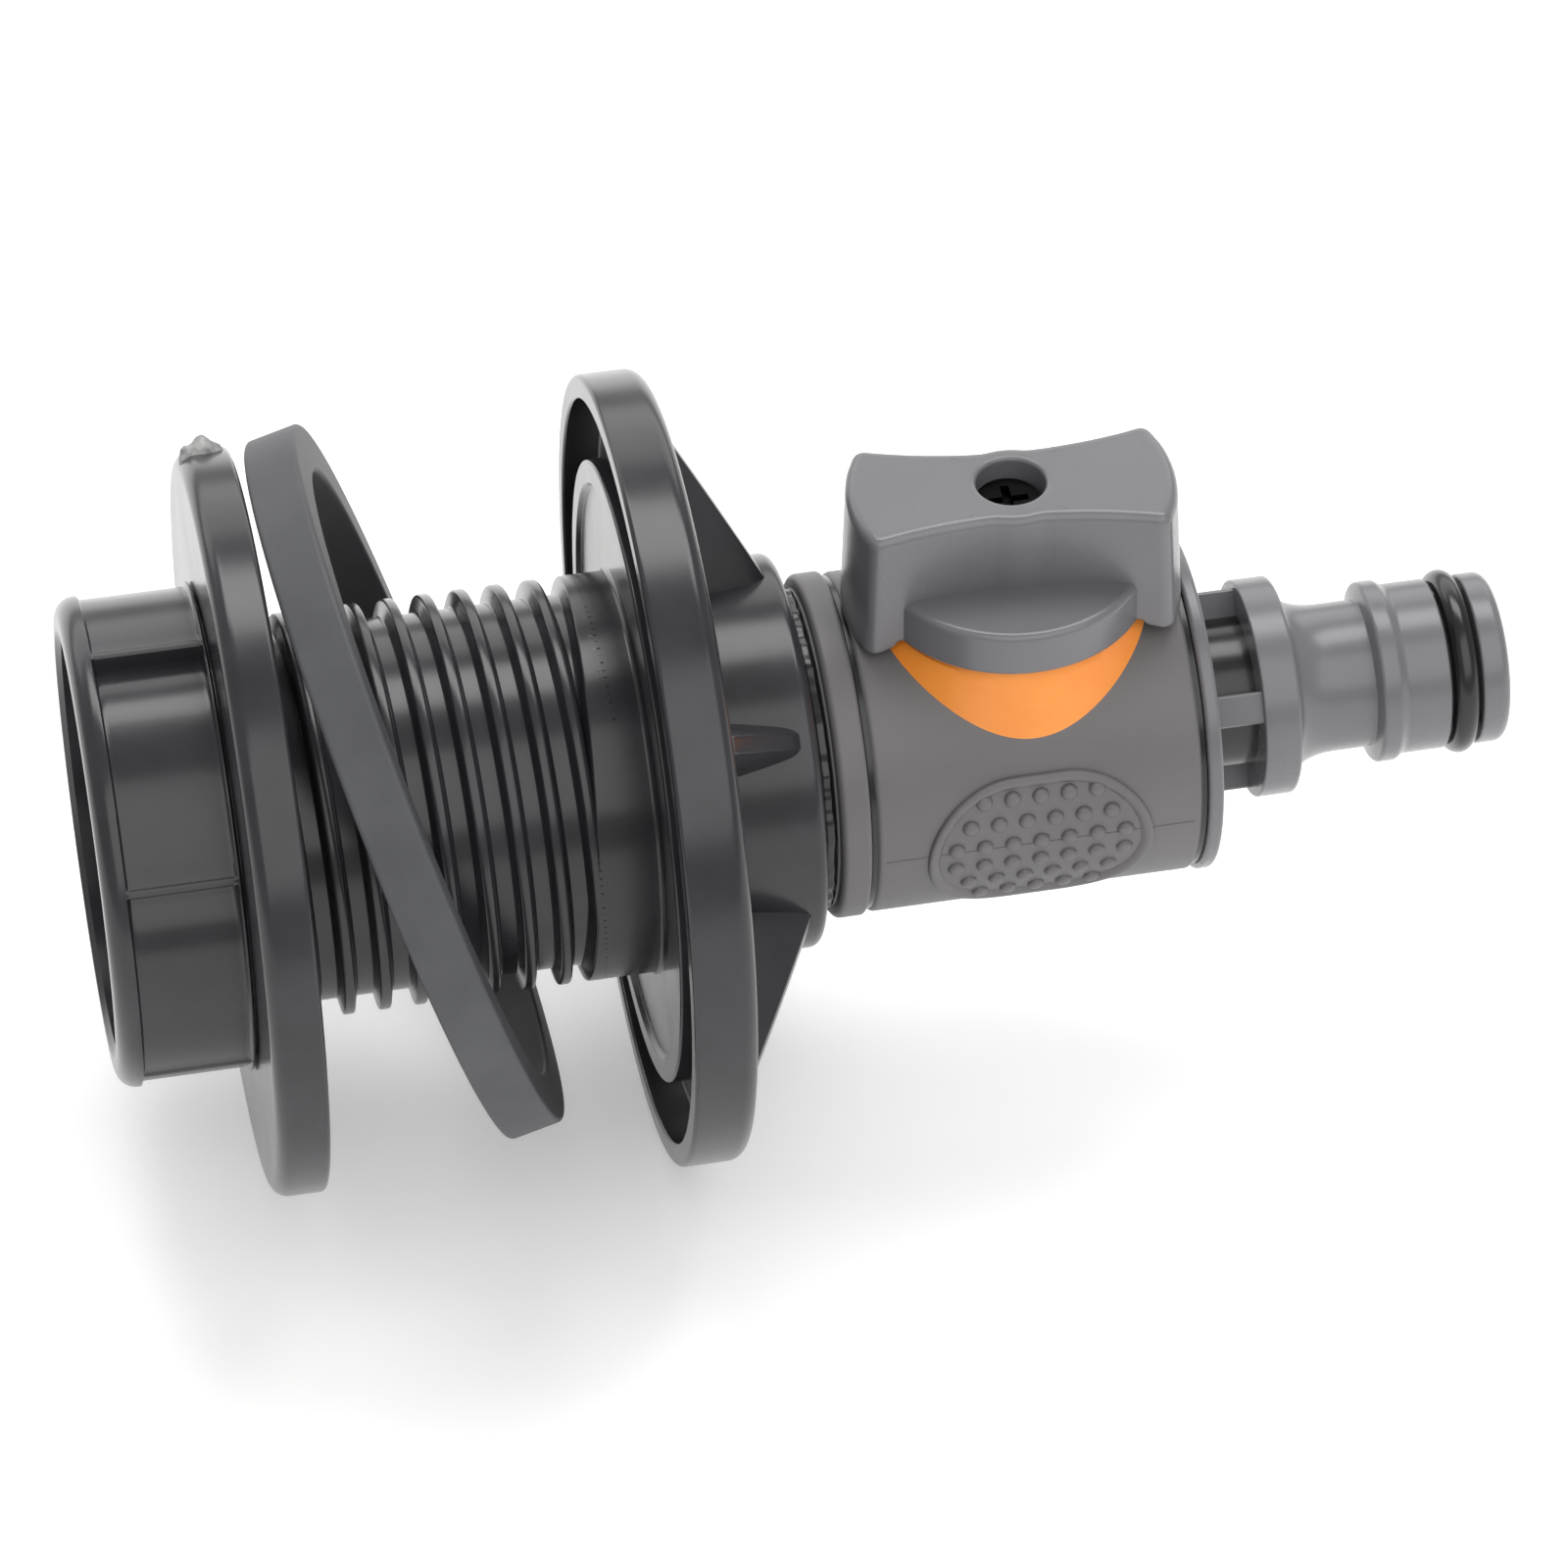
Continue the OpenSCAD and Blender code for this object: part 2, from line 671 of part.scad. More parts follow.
module valve_stem() {
    tongue_w = slot_w - 2 * fit;
    tongue_r = seat_face - run;
    color("#d8d6ce")
        translate([valve_x, 0, 0])
            difference() {
                union() {
                    intersection() {
                        translate([-tongue_w / 2, -tongue_r, slot_floor + fit])
                            cube([tongue_w, 2 * tongue_r, foot_z - slot_floor]);
                        cylinder(h = foot_z + foot_t, r = tongue_r);
                    }
                    rotate_extrude()
                        polygon([
                            [0, foot_z], [stem_foot_r, foot_z], [stem_foot_r, foot_z + foot_t],
                            [stem_r, foot_z + foot_t], [stem_r, seal_lower_z],
                            [seal_groove_r, seal_lower_z], [seal_groove_r, seal_lower_z + stem_seal_t],
                            [stem_r, seal_lower_z + stem_seal_t], [stem_r, seal_upper_z],
                            [seal_groove_r, seal_upper_z], [seal_groove_r, seal_upper_z + stem_seal_t],
                            [stem_r, seal_upper_z + stem_seal_t], [stem_r, neck_top], [0, neck_top]
                        ]);
                    intersection() {
                        translate([-square_w / 2, -square_w / 2, neck_top - eps])
                            cube([square_w, square_w, stem_top - neck_top + eps]);
                        cylinder(h = stem_top, r = stem_r - 0.3);
                    }
                }
                translate([0, 0, hole_floor - screw_len - 0.5])
                    cylinder(h = screw_len + 1, r = screw_r);
            }
}

module stem_washer() {
    color("#e9e7e0")
        translate([valve_x, 0, foot_z + foot_t])
            difference() {
                cylinder(h = stem_washer_t, r = stem_foot_r);
                translate([0, 0, -1])
                    cylinder(h = stem_washer_t + 2, r = stem_r);
            }
}

// An O-ring in a groove of the stem, just clear of the hole that it seals
module stem_o_ring(z) {
    section_r = (stem_seal_t - stem_clear / 2) / 2;
    color("#1c1c1e")
        translate([valve_x, 0, z])
            rotate_extrude()
                translate([seal_groove_r + section_r, stem_seal_t / 2])
                    circle(section_r, $fn = 32);
}

module stem_o_ring_lower() {
    stem_o_ring(seal_lower_z);
}

module stem_o_ring_upper() {
    stem_o_ring(seal_upper_z);
}

// Plan of the hollow inside the wings
module wing_hollow() {
    difference() {
        circle(handle_r - wing_wall);
        for (s = [-1, 1])
            translate([0, s * side_y])
                circle(side_r + wing_wall, $fn = 360);
        circle(turn_room_r + wing_wall);
    }
}

// A round block of the handle's height, its top edge rounded
module round_block(r) {
    rotate_extrude()
        polygon(concat(
            [[0, handle_base], [r, handle_base]],
            corner([r - top_round, handle_top - top_round], top_round, 0, 90),
            [[0, handle_top]]));
}

// The round tool that hollows one side of the handle and rounds the top edge it leaves
module side_cutter() {
    rotate_extrude($fn = 360)
        polygon(concat(
            [[0, handle_base - 1], [side_r, handle_base - 1]],
            corner([side_r + top_round, handle_top - top_round], top_round, 180, 90),
            [[side_r + top_round, handle_top + 1], [0, handle_top + 1]]));
}

module wings() {
    difference() {
        round_block(handle_r);
        for (s = [-1, 1])
            translate([0, s * side_y, 0])
                side_cutter();
    }
}

module handle() {
    wing_floor = 2;
    color("#77797b")
        translate([valve_x, 0, 0])
            difference() {
                union() {
                    wings();
                    round_block(boss_r);
                    translate([0, 0, handle_base])
                        rotate_extrude()
                            polygon(concat(
                                [[0, 0], [disc_r, 0]],
                                corner([disc_r - disc_round, disc_t - disc_round], disc_round, 0, 90),
                                [[0, disc_t]]));
                }
                // Hollow wings, open below outside the disc's skirt
                translate([0, 0, handle_base - 1])
                    linear_extrude(handle_top - wing_floor - handle_base + 1)
                        wing_hollow();
                // Room for the neck, with two stops left standing in it
                translate([0, 0, handle_base - 1])
                    cylinder(h = socket_z - handle_base + 1, r = neck_r + run);
                for (a = [90, 270])
                    rotate([0, 0, a - turn_stop_span - turn_stop_gap])
                        rotate_extrude(angle = 180 - turn_stop_span)
                            translate([0, handle_base - 1])
                                square([turn_room_r, socket_z - handle_base + 1]);
                translate([-square_w / 2 - fit, -square_w / 2 - fit, socket_z - eps])
                    cube([square_w + 2 * fit, square_w + 2 * fit, web_z - socket_z + eps]);
                translate([0, 0, web_z - 1])
                    cylinder(h = hole_floor - web_z + 2, r = screw_r + fit);
                translate([0, 0, hole_floor])
                    cylinder(h = handle_top - hole_floor + 1, r = handle_hole_r);
            }
}

module handle_screw() {
    head_r = handle_hole_r - run;
    head_t = 2;
    cross_len = 3.8;
    cross_w = 0.8;
    color("#a9abad")
        translate([valve_x, 0, hole_floor])
            difference() {
                union() {
                    cylinder(h = head_t, r = head_r);
                    translate([0, 0, -screw_len])
                        cylinder(h = screw_len + 1, r = screw_r - 0.05);
                }
                for (a = [0, 90])
                    rotate([0, 0, a])
                        translate([-cross_w / 2, -cross_len / 2, head_t / 2])
                            cube([cross_w, cross_len, head_t]);
            }
}

tank_connector();
tank_nut();
flange_seal_ring();
inlet_washer();
inlet_cap();
inlet_cap_seal();
valve_body();
outlet_cap_seal();
outlet_nipple();
nipple_o_ring();
indicator_collar();
ball_seat_inlet();
ball_seat_outlet();
seat_spring_ring_inlet();
seat_spring_ring_outlet();
valve_ball();
valve_stem();
stem_washer();
stem_o_ring_lower();
stem_o_ring_upper();
handle();
handle_screw();
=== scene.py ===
# Rain barrel tap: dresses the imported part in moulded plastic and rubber, in the part's own frame
import math

import bpy
import numpy as np
from mathutils import Matrix, Vector


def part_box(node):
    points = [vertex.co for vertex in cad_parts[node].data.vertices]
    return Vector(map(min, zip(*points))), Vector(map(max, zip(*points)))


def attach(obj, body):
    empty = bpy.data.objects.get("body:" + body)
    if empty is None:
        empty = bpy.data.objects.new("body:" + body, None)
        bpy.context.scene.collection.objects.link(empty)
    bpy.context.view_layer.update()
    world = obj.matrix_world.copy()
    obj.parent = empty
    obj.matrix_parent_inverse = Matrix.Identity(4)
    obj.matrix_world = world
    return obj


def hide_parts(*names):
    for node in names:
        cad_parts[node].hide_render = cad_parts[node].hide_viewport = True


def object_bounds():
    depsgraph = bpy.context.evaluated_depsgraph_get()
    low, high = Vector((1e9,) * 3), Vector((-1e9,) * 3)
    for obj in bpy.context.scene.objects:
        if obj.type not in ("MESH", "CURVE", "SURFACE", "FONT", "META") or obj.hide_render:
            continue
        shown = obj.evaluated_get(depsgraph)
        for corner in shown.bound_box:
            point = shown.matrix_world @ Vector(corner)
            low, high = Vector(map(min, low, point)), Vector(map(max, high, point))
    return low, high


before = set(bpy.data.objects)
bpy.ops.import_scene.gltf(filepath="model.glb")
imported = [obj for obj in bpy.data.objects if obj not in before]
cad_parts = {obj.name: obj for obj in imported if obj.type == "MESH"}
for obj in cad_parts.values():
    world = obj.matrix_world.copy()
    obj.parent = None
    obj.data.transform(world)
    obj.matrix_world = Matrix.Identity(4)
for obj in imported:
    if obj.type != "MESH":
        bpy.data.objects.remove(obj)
cadLow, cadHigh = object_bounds()
mm = 0.001
print("frame loaded")


def boxMm(node):
    low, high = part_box(node)
    return np.array(low) / mm, np.array(high) / mm


def linear(hexColour, alpha=1.0):
    # sRGB hex to linear light: the standard curve, channel by channel
    value = np.array([int(hexColour[i:i + 2], 16) / 255 for i in (1, 3, 5)])
    value = np.where(value <= 0.04045, value / 12.92, ((value + 0.055) / 1.055) ** 2.4)
    return (*value.tolist(), alpha)


def addNode(tree, kind, inputs=None, **settings):
    # adds one node; inputs are fixed values or sockets to link from
    node = tree.nodes.new(kind)
    for key, value in settings.items():
        setattr(node, key, value)
    for key, value in (inputs or {}).items():
        if isinstance(value, bpy.types.NodeSocket):
            tree.links.new(value, node.inputs[key])
        else:
            node.inputs[key].default_value = value
    return node


# Moulded plastics and rubbers. Sizes of patterns are in mm
finishes = {
    # charcoal polypropylene, injection moulded and glossy: crisp highlights with a faint orange peel
    "mouldedCharcoalPolypropylene": dict(
        base="#252528", fleck="#2f2f33", roughness=0.22, ior=1.49, peelSize=7.0, peelHeight=0.02,
        grainSize=0.5, grainHeight=0.002, mottleSize=9.0, roughSpread=0.08),
    # grey ABS, spark-eroded tool: a soft satin with fine grain
    "satinGreyAbs": dict(
        base="#605e5f", fleck="#656364", roughness=0.46, ior=1.53, peelSize=5.0, peelHeight=0.008,
        grainSize=0.35, grainHeight=0.003, mottleSize=12.0, roughSpread=0.06),
    # grey ABS from a polished tool: smoother, so edges catch a white line
    "polishedGreyAbs": dict(
        base="#68676a", fleck="#6d6c70", roughness=0.27, ior=1.53, peelSize=6.0, peelHeight=0.012,
        grainSize=0.4, grainHeight=0.0008, mottleSize=14.0, roughSpread=0.05),
    # orange ABS, moulded: smooth and saturated
    "mouldedOrangeAbs": dict(
        base="#ee8a2c", fleck="#f2953a", roughness=0.4, ior=1.53, peelSize=6.0, peelHeight=0.01,
        grainSize=0.4, grainHeight=0.001, mottleSize=8.0, roughSpread=0.05),
    # grey EPDM rubber, compression moulded: dull, slightly bloomed
    "mouldedGreyRubber": dict(
        base="#424346", fleck="#4b4c4f", roughness=0.55, ior=1.5, peelSize=3.0, peelHeight=0.012,
        grainSize=0.3, grainHeight=0.004, mottleSize=6.0, roughSpread=0.12),
    # black nitrile rubber, moulded: dark with a greasy sheen
    "mouldedBlackRubber": dict(
        base="#0e0e0f", fleck="#151517", roughness=0.22, ior=1.52, peelSize=2.0, peelHeight=0.008,
        grainSize=0.3, grainHeight=0.002, mottleSize=4.0, roughSpread=0.12),
    # the same polypropylene where a gate was torn off: rough and stress-whitened
    "tornPolypropylene": dict(
        base="#6a6b6c", fleck="#b4b4b2", roughness=0.5, ior=1.49, peelSize=0.8, peelHeight=0.12,
        grainSize=0.25, grainHeight=0.03, mottleSize=1.4, roughSpread=0.2),
    # white PTFE, turned: waxy
    "turnedPtfe": dict(
        base="#e6e4dc", fleck="#dcdad0", roughness=0.45, ior=1.38, peelSize=3.0, peelHeight=0.004,
        grainSize=0.2, grainHeight=0.002, mottleSize=5.0, roughSpread=0.08),
    # pale acetal, polished ball
    "polishedAcetal": dict(
        base="#c6c9cc", fleck="#cfd1d3", roughness=0.2, ior=1.48, peelSize=4.0, peelHeight=0.003,
        grainSize=0.3, grainHeight=0.001, mottleSize=6.0, roughSpread=0.04),
    # natural acetal, moulded stem
    "mouldedAcetal": dict(
        base="#d4d1c7", fleck="#dbd9d0", roughness=0.38, ior=1.48, peelSize=3.0, peelHeight=0.005,
        grainSize=0.3, grainHeight=0.002, mottleSize=5.0, roughSpread=0.06),
    # stainless steel screw, painted nearly black so that it reads as the shade down its hole: painted shade
    "steelPaintedAsShade": dict(
        base="#1b1b1c", fleck="#161617", roughness=0.6, ior=1.5, metallic=1.0, peelSize=1.0,
        peelHeight=0.002, grainSize=0.15, grainHeight=0.002, mottleSize=2.0, roughSpread=0.1),
}


def makeFinish(name, base, fleck, roughness, ior, peelSize, peelHeight, grainSize, grainHeight,
               mottleSize, roughSpread, metallic=0.0):
    # colour drifts between base and fleck in soft patches, roughness with it, and two bumps lie over it
    material = bpy.data.materials.new(name)
    material.use_nodes = True
    tree = material.node_tree
    shader = tree.nodes["Principled BSDF"]
    shader.inputs["IOR"].default_value = ior
    shader.inputs["Metallic"].default_value = metallic
    place = addNode(tree, "ShaderNodeTexCoord").outputs["Object"]
    mottle = addNode(tree, "ShaderNodeTexNoise", {
        "Vector": place, "Scale": 1 / (mottleSize * mm), "Detail": 4.0, "Roughness": 0.55})
    ramp = addNode(tree, "ShaderNodeValToRGB", {"Fac": mottle.outputs["Fac"]})
    ramp.color_ramp.elements[0].position = 0.35
    ramp.color_ramp.elements[0].color = linear(base)
    ramp.color_ramp.elements[1].position = 0.7
    ramp.color_ramp.elements[1].color = linear(fleck)
    tree.links.new(ramp.outputs["Color"], shader.inputs["Base Color"])
    drift = addNode(tree, "ShaderNodeMapRange", {
        "Value": mottle.outputs["Fac"], "To Min": roughness - roughSpread / 2,
        "To Max": roughness + roughSpread / 2})
    tree.links.new(drift.outputs["Result"], shader.inputs["Roughness"])
    peel = addNode(tree, "ShaderNodeTexNoise", {
        "Vector": place, "Scale": 1 / (peelSize * mm), "Detail": 1.0})
    grain = addNode(tree, "ShaderNodeTexNoise", {
        "Vector": place, "Scale": 1 / (grainSize * mm), "Detail": 2.0})
    under = addNode(tree, "ShaderNodeBump", {
        "Height": peel.outputs["Fac"], "Distance": peelHeight * mm, "Strength": 1.0})
    over = addNode(tree, "ShaderNodeBump", {
        "Height": grain.outputs["Fac"], "Distance": grainHeight * mm, "Strength": 1.0,
        "Normal": under.outputs["Normal"]})
    tree.links.new(over.outputs["Normal"], shader.inputs["Normal"])
    return material


materials = {name: makeFinish(name, **values) for name, values in finishes.items()}
print("materials made")


def rounded(corners, arcStep=11.0, lead=0.06):
    # each corner (x, y, fillet) of a closed outline becomes an arc tangent to both its sides, whose
    # centre lies on the bisector at fillet / sin(half angle); a point just outside each end of the
    # arc keeps the flat beside it flat
    points = np.array([c[:2] for c in corners], float)
    outline = []
    for k, corner in enumerate(corners):
        p = points[k]
        a = points[k - 1] - p
        b = points[(k + 1) % len(points)] - p
        lengthA, lengthB = np.hypot(*a), np.hypot(*b)
        a, b = a / lengthA, b / lengthB
        half = math.acos(np.clip(a @ b, -1, 1)) / 2
        fillet = corner[2] if len(corner) > 2 else 0
        if fillet <= 0 or half > math.radians(89.5):
            outline.append(p)
            continue
        reach = min(fillet / math.tan(half), 0.48 * lengthA, 0.48 * lengthB)
        radius = reach * math.tan(half)
        centre = p + (a + b) / np.linalg.norm(a + b) * radius / math.sin(half)
        start, end = p + a * reach - centre, p + b * reach - centre
        first = math.atan2(start[1], start[0])
        turn = (math.atan2(end[1], end[0]) - first + math.pi) % (2 * math.pi) - math.pi
        steps = max(2, math.ceil(math.degrees(abs(turn)) / arcStep))
        angles = first + turn * np.linspace(0, 1, steps + 1)
        arc = centre + radius * np.stack([np.cos(angles), np.sin(angles)], 1)
        outline.append(p + a * min(reach + lead, 0.5 * lengthA))
        outline.extend(arc)
        outline.append(p + b * min(reach + lead, 0.5 * lengthB))
    return np.array(outline)


def gridShell(grid, wrapRows=True, wrapColumns=True):
    # neighbouring points of the grid become quads, and rows or columns that wrap close on themselves
    rows, columns = grid.shape[:2]
    number = np.arange(rows * columns).reshape(rows, columns)
    if wrapRows:
        number = np.vstack([number, number[:1]])
    if wrapColumns:
        number = np.hstack([number, number[:, :1]])
    quads = np.stack([number[:-1, :-1], number[:-1, 1:], number[1:, 1:], number[1:, :-1]], -1)
    return grid.reshape(-1, 3), quads.reshape(-1, 4).tolist()


def cappedShell(grid):
    # a tube of rows, each row a closed ring, with one face over each end
    points, faces = gridShell(grid, wrapRows=False, wrapColumns=True)
    rows, columns = grid.shape[:2]
    faces.append(list(range(columns))[::-1])
    faces.append(list(range((rows - 1) * columns, rows * columns)))
    return points, faces


def turnedX(profile, segments=224):
    # the outline of (x, r) points turned round the pipe axis
    a = np.linspace(0, 2 * np.pi, segments, endpoint=False)
    x, r = profile[:, :1], profile[:, 1:2]
    return np.stack([x + 0 * a, r * np.cos(a), r * np.sin(a)], -1)


def turnedZ(profile, centreX, segments=160):
    # the outline of (r, z) points turned round the stem's axis
    a = np.linspace(0, 2 * np.pi, segments, endpoint=False)
    r, z = profile[:, :1], profile[:, 1:2]
    return np.stack([centreX + r * np.cos(a), r * np.sin(a), z + 0 * a], -1)


def outward(points, faces):
    # the signed volume of a closed shell is negative when its faces point inwards
    volume = 0.0
    for width in {len(f) for f in faces}:
        ring = points[np.array([f for f in faces if len(f) == width])]
        for k in range(1, width - 1):
            volume += np.einsum("ij,ij->", ring[:, 0], np.cross(ring[:, k], ring[:, k + 1]))
    return faces if volume > 0 else [f[::-1] for f in faces]


def makePiece(name, shells, finish, body, nodes, crease=38):
    # joins the shells in one mesh, in metres, smooth except where faces meet sharper than crease
    points, faces, first = [], [], 0
    for shellPoints, shellFaces in shells:
        faces += [[first + i for i in face] for face in outward(shellPoints, shellFaces)]
        points.append(shellPoints)
        first += len(shellPoints)
    mesh = bpy.data.meshes.new(name)
    mesh.from_pydata((np.concatenate(points) * mm).tolist(), [], faces)
    mesh.shade_smooth()
    mesh.set_sharp_from_angle(angle=math.radians(crease))
    mesh.materials.append(materials[finish])
    piece = bpy.data.objects.new(name, mesh)
    bpy.context.scene.collection.objects.link(piece)
    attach(piece, body)
    if nodes:
        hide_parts(*nodes)
    return piece


# Barrel connector: shank, collar, flange with its seal groove, and hub
connectorLow, connectorHigh = boxMm("tank_connector")
connector = dict(
    boreR=13.5, rootR=16.9, crestR=18.5, endEdge=0.5, collarLength=3.4, landRecess=0.5,
    landLipR=26.3, grooveInR=28.7, grooveOutR=34.3, grooveDepth=3.6, flangeThickness=5.8, flangeEdge=0.45,
    flangeBack=1.4, hubR=18.2, hubFillet=0.9, hubEdge=1.0, pipeBoreR=13.2, pipeBoreStart=5.1,
    edgeMean=-4.9, edgeSwing=1.1, edgeTurn=47.6, edgeReach=0.75)


def connectorShell(c):
    # the outline of (x, r, fillet) corners is turned round the pipe axis; then the edge of the collar
    # is made to wander along the shank, because the thread runs out into it:
    # x = edgeMean + edgeSwing * cos(a - edgeTurn)
    end, hubEnd, flangeR = connectorLow[0], connectorHigh[0], connectorHigh[1]
    grid = turnedX(rounded([
        (end, c["boreR"], 0.4), (end, c["rootR"] - c["endEdge"], 0.1),
        (end + c["endEdge"], c["rootR"], 0.1), (-c["collarLength"] - 0.5, c["rootR"], 0.3),
        (-c["collarLength"], c["crestR"], 0.25), (c["landRecess"], c["crestR"], 0.5),
        (c["landRecess"], c["landLipR"], 0.2), (0, c["landLipR"] + 0.3, 0.15),
        (0, c["grooveInR"], 0.25), (c["grooveDepth"], c["grooveInR"], 0.3),
        (c["grooveDepth"], c["grooveOutR"], 0.3), (0, c["grooveOutR"], 0.25),
        (0, flangeR, c["flangeEdge"]), (c["flangeThickness"], flangeR, c["flangeBack"]),
        (c["flangeThickness"], c["hubR"], c["hubFillet"]), (hubEnd, c["hubR"], c["hubEdge"]),
        (hubEnd, c["pipeBoreR"], 0.4), (c["pipeBoreStart"], c["pipeBoreR"]),
        (c["pipeBoreStart"] - 0.3, c["boreR"])]))
    a = np.linspace(0, 2 * np.pi, grid.shape[1], endpoint=False)
    outside = np.hypot(grid[..., 1], grid[..., 2]) > c["rootR"] - 0.1
    atEdge = (np.abs(grid[..., 0] + c["collarLength"]) < c["edgeReach"]) & outside
    wander = c["edgeMean"] + c["edgeSwing"] * np.cos(a - math.radians(c["edgeTurn"])) + c["collarLength"]
    grid[..., 0] += atEdge * wander
    return gridShell(grid)


# Helical ridge: pitch and ridge section, with a lead that says where the ridge crosses the +Y side
thread = dict(
    pitch=3.3, lead=-0.35, crestWidth=0.9, rootWidth=1.7, stepsPerTurn=144, fadeTurns=0.35)


def ridgeShell(startX, endX, rootR, crestR, lead, fadeStart, fadeEnd):
    # a section carried along the helix x = lead + pitch * turns; its height runs from root to crest
    # with rounded shoulders, its underside is sunk below the root, and it fades out where told
    c, w, sunk = thread["crestWidth"] / 2, thread["rootWidth"] / 2, -0.3
    offset = np.array([-w - 0.25, -w - 0.06, -w + 0.07, -c - 0.1, -c - 0.03, -c + 0.1, 0,
                       c - 0.1, c + 0.03, c + 0.1, w - 0.07, w + 0.06, w + 0.25])
    height = np.array([-0.05, 0.02, 0.12, 0.86, 0.955, 1, 1, 1, 0.955, 0.86, 0.12, 0.02, -0.05])
    offset = np.append(offset, [w, -w])
    height = np.append(height, [sunk, sunk])
    turns = (endX - startX) / thread["pitch"]
    t = np.linspace(0, turns, int(turns * thread["stepsPerTurn"]))[:, None]
    x = startX + thread["pitch"] * t
    angle = 2 * np.pi * (x - lead) / thread["pitch"]
    fade = np.ones_like(t)
    if fadeStart:
        fade = np.minimum(fade, t / thread["fadeTurns"])
    if fadeEnd:
        fade = np.minimum(fade, (turns - t) / thread["fadeTurns"])
    r = rootR + (crestR - rootR) * np.where(height > 0, height * fade + (fade - 1) * 0.2, height)
    return cappedShell(np.stack([x + offset, r * np.cos(angle), r * np.sin(angle)], -1))


# Gussets between hub and flange
gusset = dict(count=6, turn=76.0, thickness=1.6, topR=32.8, topX=6.2, endR=17.9, endX=14.1, footR=17.0,
              footSpread=1.2, draft=0.09, edgeRound=0.35, bow=1.03, startInset=0.9)


def gussetShell(g, index):
    # the free edge falls almost straight from the flange's back to the hub's end, and both its corners
    # are rounded; the gusset widens with its draft down to the foot, which is sunk in the hub
    along = np.concatenate([[0.0], np.linspace(0.02, 1, 24)])[:, None]
    x = g["topX"] - g["startInset"] + (g["endX"] - g["topX"] + g["startInset"]) * along
    down = np.clip((x - g["topX"]) / (g["endX"] - g["topX"]), 0, 1) ** g["bow"]
    edgeR = g["topR"] + (g["endR"] - g["topR"]) * down
    half, roundR = g["thickness"] / 2, g["edgeRound"]
    bend = np.linspace(0, np.pi / 2, 5)
    cheek, fall = half - roundR + roundR * np.cos(bend), roundR * (1 - np.sin(bend))
    side = np.concatenate([[half], cheek, -cheek[::-1], [-half]])
    drop = np.concatenate([[0], fall, fall[::-1], [0]])
    atFoot = np.abs(np.arange(len(side)) - (len(side) - 1) / 2) > len(side) / 2 - 1
    r = np.where(atFoot, g["footR"], np.maximum(edgeR - drop, g["footR"] + 0.05))
    spread = 1 + atFoot * (g["footSpread"] + 2 * g["draft"] * (edgeR - g["footR"])) / g["thickness"]
    side = side * spread
    angle = math.radians(g["turn"] + 360 / g["count"] * index)
    y = r * math.cos(angle) - side * math.sin(angle)
    z = r * math.sin(angle) + side * math.cos(angle)
    return cappedShell(np.stack([x + 0 * side, y, z], -1))


makePiece("barrelConnector", [
    connectorShell(connector),
    ridgeShell(connectorLow[0] + 1.0, -connector["collarLength"] + 0.9, connector["rootR"],
               connector["crestR"], thread["lead"], True, False),
    *[gussetShell(gusset, k) for k in range(gusset["count"])],
], "mouldedCharcoalPolypropylene", "tap", ["tank_connector"])
print("barrel connector made")

# Nut: flange, grip of panels whose radius grows and then steps down, round lip, inner thread.
# profile is (degrees into a panel, share of the step)
nutLow, nutHigh = boxMm("tank_nut")
nut = dict(
    flangeThickness=4.8, flangeBack=1.5, flangeEdge=0.5, boreR=18.8, wallInset=0.3, gripR=22.4, endRound=1.8,
    reach=0.7, lipLength=2.15, panels=6, panelTurn=32.0, step=1.25, ridgeInset=0.12, gapR=21.0, gap=0.25,
    endLip=0.3, profile=(
        (0, -0.2), (1.2, -0.22), (2.6, -0.05), (4.5, 0.12), (8, 0.38), (12, 0.6), (16, 0.74), (30, 0.86),
        (56, 0.92), (57.4, 0.97), (58.1, 1.1), (59.0, 1.12), (59.55, 0.98), (59.85, 0.2), (60, -0.2)))


def panelRadius(degrees, n):
    # within one panel the radius grows fast, then slowly, up to a bead, and drops into a narrow groove
    low, high = n["gripR"] - n["ridgeInset"] - n["step"], n["gripR"] - n["ridgeInset"]
    at, up = np.array(n["profile"]).T
    return low + (high - low) * np.interp((degrees - n["panelTurn"]) % (360 / n["panels"]), at, up)


